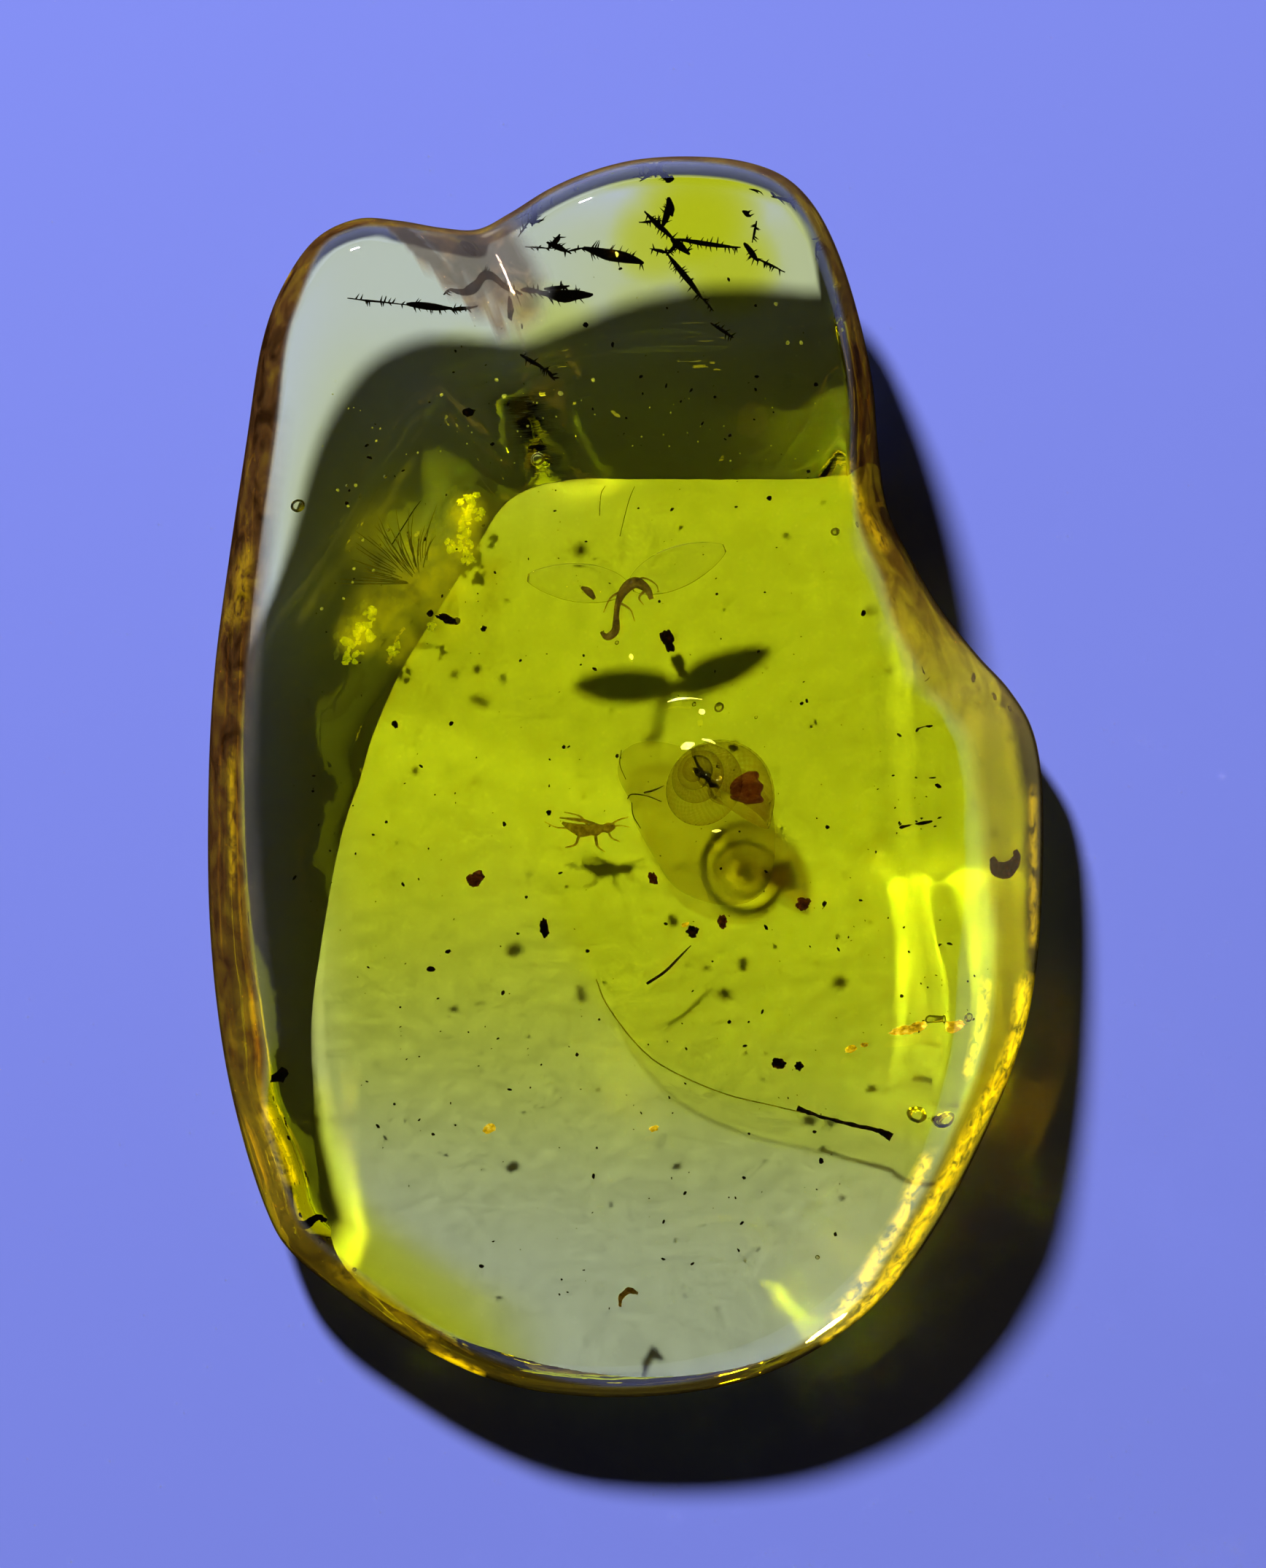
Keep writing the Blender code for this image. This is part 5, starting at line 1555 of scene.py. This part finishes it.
@dataclass
class GasAndFoam:
    """Bubbles, the cloudy patch with its fan of fine threads, and the cracks."""

    seal: Seal
    seed: int = 23
    thread_count: int = 34
    speck_count: int = 46
    film_thickness: float = 0.03
    # The cloudy patch's painted glow: place, reach and brightness.
    painted_glow_spots: tuple[tuple[float, float, float, float], ...] = (
        (-6.7, 6.9, 2.3, 0.5), (-8.2, 5.6, 1.6, 0.45), (-9.0, 4.9, 1.0, 0.9), (-5.4, 8.9, 0.9, 1.0),
        (-5.5, 7.9, 0.9, 0.8), (-7.9, 8.0, 2.0, 0.2), (-7.6, 4.6, 1.0, 0.4), (-5.8, 5.4, 1.0, 0.15),
    )  # fmt: skip
    # The thread along the lower edge of the richer flow.
    seam: tuple[tuple[float, float], ...] = (
        (-1.0, -6.75), (-0.55, -7.75), (0.85, -9.4), (3.0, -10.5), (5.1, -11.05), (7.2, -11.5),
    )  # fmt: skip
    haze_corner: tuple[float, float] = (-11.0, 3.2)
    haze_rows: int = 34
    haze_pitch: float = 0.2

    def build_bubbles(self) -> None:
        """Builds the round and drawn-out bubbles."""
        bubbles = [
            (-2.95, 10.75, 5.6, 0.5), (-11.05, 9.22, 3.6, 0.5), (3.15, 2.45, 2.2, 0.34),
            (2.3, 2.55, 2.2, 0.16), (-0.3, 4.6, 4.6, 0.15), (-8.0, 8.4, 4.0, 0.12),
            (-9.4, 9.9, 4.0, 0.1), (-8.1, 10.2, 4.0, 0.12), (6.5, -16.2, 2.2, 0.16),
            (10.5, -8.1, 3.2, 0.3), (10.8, -11.5, 3.0, 0.6), (-9.2, -16.6, 3.0, 0.16),
            (8.4, 8.8, 5.0, 0.3), (4.4, 2.1, 3.0, 0.12),
        ]  # fmt: skip
        bm = bmesh.new()
        for number, (x, y, z, size) in enumerate(bubbles):
            shape, turn = (size, size * 0.9, size * 0.8), Matrix.Rotation(0.6, 3, "Z")
            add_blob(bm, self.seal(x, y, z), shape, turn, 0.06, number, 3)
        bmesh.ops.reverse_faces(bm, faces=bm.faces)
        piece = mesh_piece("gas_bubbles", bm, GasFilm().material())

    def painted_glow_at(self, x: float, y: float) -> float:
        """Finds how strong the cloudy patch's painted glow is at a point."""
        painted_glow = 0.0
        for at_x, at_y, reach, bright in self.painted_glow_spots:
            away = math.hypot(x - at_x, y - at_y)
            painted_glow = max(painted_glow, bright * smoothstep(reach, 0.15 * reach, away))
        return painted_glow

    def build_haze(self) -> None:
        """Builds the soft middle of the cloudy patch as one thin closed film with a painted glow.
        """
        bm = bmesh.new()
        layer = bm.verts.layers.float.new("painted_glow")
        rows = []
        for j in range(self.haze_rows):
            row = []
            for i in range(self.haze_rows):
                x, y = (edge + k * self.haze_pitch for edge, k in zip(self.haze_corner, (i, j)))
                corner = bm.verts.new(self.seal(x, y, 3.4) * MM)
                corner[layer] = self.painted_glow_at(x, y)
                row.append(corner)
            rows.append(row)
        for low, high in zip(rows, rows[1:]):
            for i in range(self.haze_rows - 1):
                quad = (low[i], low[i + 1], high[i + 1], high[i])
                if max(corner[layer] for corner in quad) > 0.01:
                    bm.faces.new(quad)
        bmesh.ops.delete(bm, geom=[v for v in bm.verts if not v.link_faces], context="VERTS")
        bm.normal_update()
        bmesh.ops.solidify(bm, geom=bm.faces, thickness=self.film_thickness * MM)
        piece = mesh_piece("foam_haze", bm, HazeWithPaintedGlow().material())

    def build_cloud(self) -> None:
        """Builds the cloudy patch's clumps, bright with a painted glow, its fan of threads and the
        seam's thread.
        """
        dice = random.Random(self.seed)
        lumps = [
            (-5.35, 9.4, 0.5), (-5.15, 8.9, 0.5), (-5.5, 8.5, 0.4), (-5.4, 8.0, 0.45),
            (-5.9, 7.9, 0.35), (-5.3, 7.5, 0.35), (-9.2, 4.5, 0.5), (-8.9, 5.1, 0.5),
            (-8.65, 5.6, 0.35), (-7.9, 4.4, 0.3), (-9.35, 4.1, 0.3), (-6.6, 5.2, 0.2),
        ]  # fmt: skip
        bm = bmesh.new()
        for number, (x, y, size) in enumerate(lumps):
            for part in range(9):
                turn = Matrix.Rotation(dice.uniform(0, math.pi), 3, "Z")
                spot = self.seal(
                    x + dice.uniform(-0.6, 0.6) * size,
                    y + dice.uniform(-0.6, 0.6) * size,
                    dice.uniform(1.0, 1.7),
                )
                grain = size * dice.uniform(0.15, 0.5)
                shape = (grain * 1.5, grain, grain * 0.6)
                add_blob(bm, spot, shape, turn, 0.7, number * 9 + part, 3)
        # Painted light: the foam's finish glows for the sun its clumps would catch.
        piece = mesh_piece("bright_foam", bm, CLOUD.material())
        threads = bmesh.new()
        for number in range(self.thread_count):
            angle = math.radians(70 + 110 * number / (self.thread_count - 1))
            root = Vector((-7.0, 6.6))
            way = Vector((math.cos(angle), math.sin(angle)))
            low, high = root + way * dice.uniform(0.3, 1.0), root + way * dice.uniform(1.6, 2.9)
            bend = (low + high) / 2 + Vector((dice.uniform(-0.15, 0.15), 0))
            thread = [(*low, 3.6, 0.012), (*bend, 3.7, 0.02), (*high, 3.8, 0.006)]
            add_sealed_tube(threads, self.seal, thread, sides=5, steps=3)
        seam = [(x, y, 3.2, 0.022) for x, y in self.seam]
        add_sealed_tube(threads, self.seal, seam, sides=5, steps=6)
        piece = mesh_piece("resin_threads", threads, THREAD.material())

    def build_specks(self) -> None:
        """Builds the pale gas specks of the dark parts, with a faint painted glow, and a few
        painted glints.
        """
        dice = random.Random(self.seed + 1)
        specks = [
            (-9.1, 9.9, 0.11), (-9.7, 9.75, 0.1), (-9.35, 9.2, 0.09), (-8.85, 8.05, 0.09),
            (-9.15, 7.1, 0.1), (-8.5, 7.05, 0.1), (-9.2, 6.65, 0.08), (-9.5, 6.1, 0.08),
            (-10.25, 5.75, 0.1), (-4.35, 13.45, 0.12), (-4.1, 12.9, 0.14), (-1.1, 13.45, 0.12),
            (-6.2, 12.95, 0.11), (5.45, 14.7, 0.12), (5.9, 14.7, 0.12), (5.05, 16.0, 0.12),
            (-2.2, 13.0, 0.16), (-8.4, 11.4, 0.08), (-7.0, 11.0, 0.07), (-3.3, 11.9, 0.08),
        ]  # fmt: skip
        for _ in range(self.speck_count):
            x, y = dice.uniform(-10.5, 6.5), dice.uniform(10.6, 13.0)
            specks.append((x, y, dice.uniform(0.03, 0.06)))
        bm = bmesh.new()
        for number, (x, y, size) in enumerate(specks):
            turn = Matrix.Rotation(dice.uniform(0, math.pi), 3, "Z")
            add_blob(bm, self.seal(x, y, 4.2), (size * 1.2, size, size), turn, 0.3, number, 2)
        piece = mesh_piece("pale_specks", bm, PALE_SPECK.material())
        # Painted glints: glowing films where the sun would flash off gas.
        painted_glint_chains = [
            [(1.85, 1.05, 6.9, 0.05), (2.05, 1.13, 6.9, 0.13), (2.3, 1.2, 6.9, 0.04)],
            [(2.55, 1.35, 6.7, 0.02), (2.8, 1.3, 6.7, 0.045), (3.0, 1.2, 6.7, 0.015)],
            [(1.4, 2.6, 6.9, 0.015), (1.75, 2.7, 6.9, 0.04), (2.2, 2.72, 6.9, 0.02),
             (2.55, 2.68, 6.9, 0.01)],
            [(2.45, 2.3, 6.9, 0.06), (2.56, 2.26, 6.9, 0.1), (2.62, 2.2, 6.9, 0.05)],
            [(0.15, 4.22, 4.0, 0.03), (0.18, 4.15, 4.0, 0.07), (0.22, 4.05, 4.0, 0.03)],
            [(-0.35, 17.72, 5.2, 0.02), (-0.3, 17.65, 5.2, 0.05), (-0.3, 17.55, 5.2, 0.02)],
            [(2.9, -1.75, 4.2, 0.02), (3.05, -1.73, 4.2, 0.05), (3.2, -1.72, 4.2, 0.02)],
        ]  # fmt: skip
        bm = bmesh.new()
        for film in painted_glint_chains:
            add_sealed_tube(bm, self.seal, film, sides=12, steps=6)
        piece = mesh_piece("painted_glints", bm, PAINTED_GLINT.material())

    def build_cracks(self) -> None:
        """Builds the golden fissure and the short cracks by the rim."""
        bm = bmesh.new()
        for number, (x, y, length, width) in enumerate(
            [(9.5, -8.45, 1.1, 0.32), (9.9, -8.3, 0.5, 0.25), (8.05, -8.95, 0.25, 0.15)]
        ):
            turn = Matrix.Rotation(0.15, 3, "Z") @ Matrix.Rotation(0.5, 3, "X")
            add_blob(bm, self.seal(x, y, 3.4), (length, width, 0.08), turn, 0.5, number + 40, 4)
        # The fissure's finish glows: a painted glint for the sun on the crack.
        piece = mesh_piece("golden_fissure", bm, GOLD_CRACK.material())

    def build(self) -> None:
        """Builds the gas, the foam and the cracks."""
        self.build_bubbles()
        self.build_haze()
        self.build_cloud()
        self.build_specks()
        self.build_cracks()


# ---------------------------------------------------------------- the studio
@dataclass
class Studio:
    """A plain pale sheet, one low soft key, a faint warm fill and a camera straight above."""

    light_travel: Spot = (0.322, -0.700, -0.637)
    key_distance: float = 0.6
    key_spread_degrees: float = 6.0
    key_energy: float = 6.2
    key_colour: str = "#FFFFFF"
    fill_colour: str = "#FFEDB4"
    fill_strength: float = 0.022
    camera_height: float = 0.35
    framed_height: float = 0.0532  # how much of the girdle's level the picture is tall
    girdle_height: float = 0.003
    framed_at: tuple[float, float] = (0.00024, -0.00015)
    sensor_mm: float = 36.0
    sheet_size: float = 1.5
    sheet_gap: float = 0.02  # millimetres between the sheet and the nugget's base
    bounces: int = 20  # through the amber, the sealed pieces and back
    guided_share: float = 0.8
    paper: PalePaper = field(default_factory=PalePaper)

    def build_paper(self) -> None:
        """Lays the sheet under the nugget."""
        bm = bmesh.new()
        bmesh.ops.create_grid(bm, x_segments=1, y_segments=1, size=self.sheet_size)
        mesh = bpy.data.meshes.new("paper_sheet")
        bm.to_mesh(mesh)
        bm.free()
        mesh.materials.append(self.paper.material())
        sheet = bpy.data.objects.new("paper_sheet", mesh)
        sheet.location.z = -self.sheet_gap * MM
        bpy.context.scene.collection.objects.link(sheet)

    def build_key(self) -> None:
        """Hangs the round key light behind the humps, to the left."""
        travel = Vector(self.light_travel).normalized()
        data = bpy.data.lights.new("key", "AREA")
        data.shape = "DISK"
        data.size = 2 * self.key_distance * math.tan(math.radians(self.key_spread_degrees / 2))
        data.energy = self.key_energy
        data.color = linear(self.key_colour)[:3]
        key = bpy.data.objects.new("key", data)
        key.location = -travel * self.key_distance
        key.rotation_euler = travel.to_track_quat("-Z", "Y").to_euler()
        bpy.context.scene.collection.objects.link(key)

    def build_fill(self) -> None:
        """Sets the even light from the sky side."""
        world = bpy.data.worlds.new("fill")
        world.use_nodes = True
        sky = {"Color": linear(self.fill_colour), "Strength": self.fill_strength}
        fill(world.node_tree.nodes["Background"], sky)
        bpy.context.scene.world = world

    def build_camera(self) -> None:
        """Sets the camera straight above, with the humps at the top of the picture."""
        data = bpy.data.cameras.new("camera")
        data.sensor_width = self.sensor_mm
        data.lens = self.sensor_mm * (self.camera_height - self.girdle_height) / self.framed_height
        data.clip_start = 0.01
        camera = bpy.data.objects.new("camera", data)
        camera.location = (*self.framed_at, self.camera_height)
        bpy.context.scene.collection.objects.link(camera)
        bpy.context.scene.camera = camera

    def build(self) -> None:
        """Builds the stage and sets how light is traced through clear pieces."""
        self.build_paper()
        self.build_key()
        self.build_fill()
        self.build_camera()
        scene = bpy.context.scene
        scene.view_settings.view_transform = "Standard"
        cycles = scene.cycles
        for kind in ("max_bounces", "transmission_bounces", "transparent_max_bounces"):
            setattr(cycles, kind, self.bounces)
        cycles.sample_clamp_indirect = 0.0
        cycles.blur_glossy = 0.0
        cycles.use_guiding = True
        cycles.surface_guiding_probability = self.guided_share


def main() -> None:
    """Builds the nugget, what it seals and the studio."""
    logging.basicConfig(level=logging.INFO, format="%(name)s: %(message)s")
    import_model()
    nugget = ClearNugget()
    seal = nugget.line_of_sight()
    nugget.build()
    nugget.build_rind()
    ResinFlow(outline=nugget.outline_curve()).build()
    Snail(seal).build()
    LooseLegs(seal).build()
    Gnat(seal).build()
    BarkLouse(seal).build()
    ForestLitter(seal).build()
    GasAndFoam(seal).build()
    Studio().build()
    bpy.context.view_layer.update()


if __name__ == "__main__":
    main()
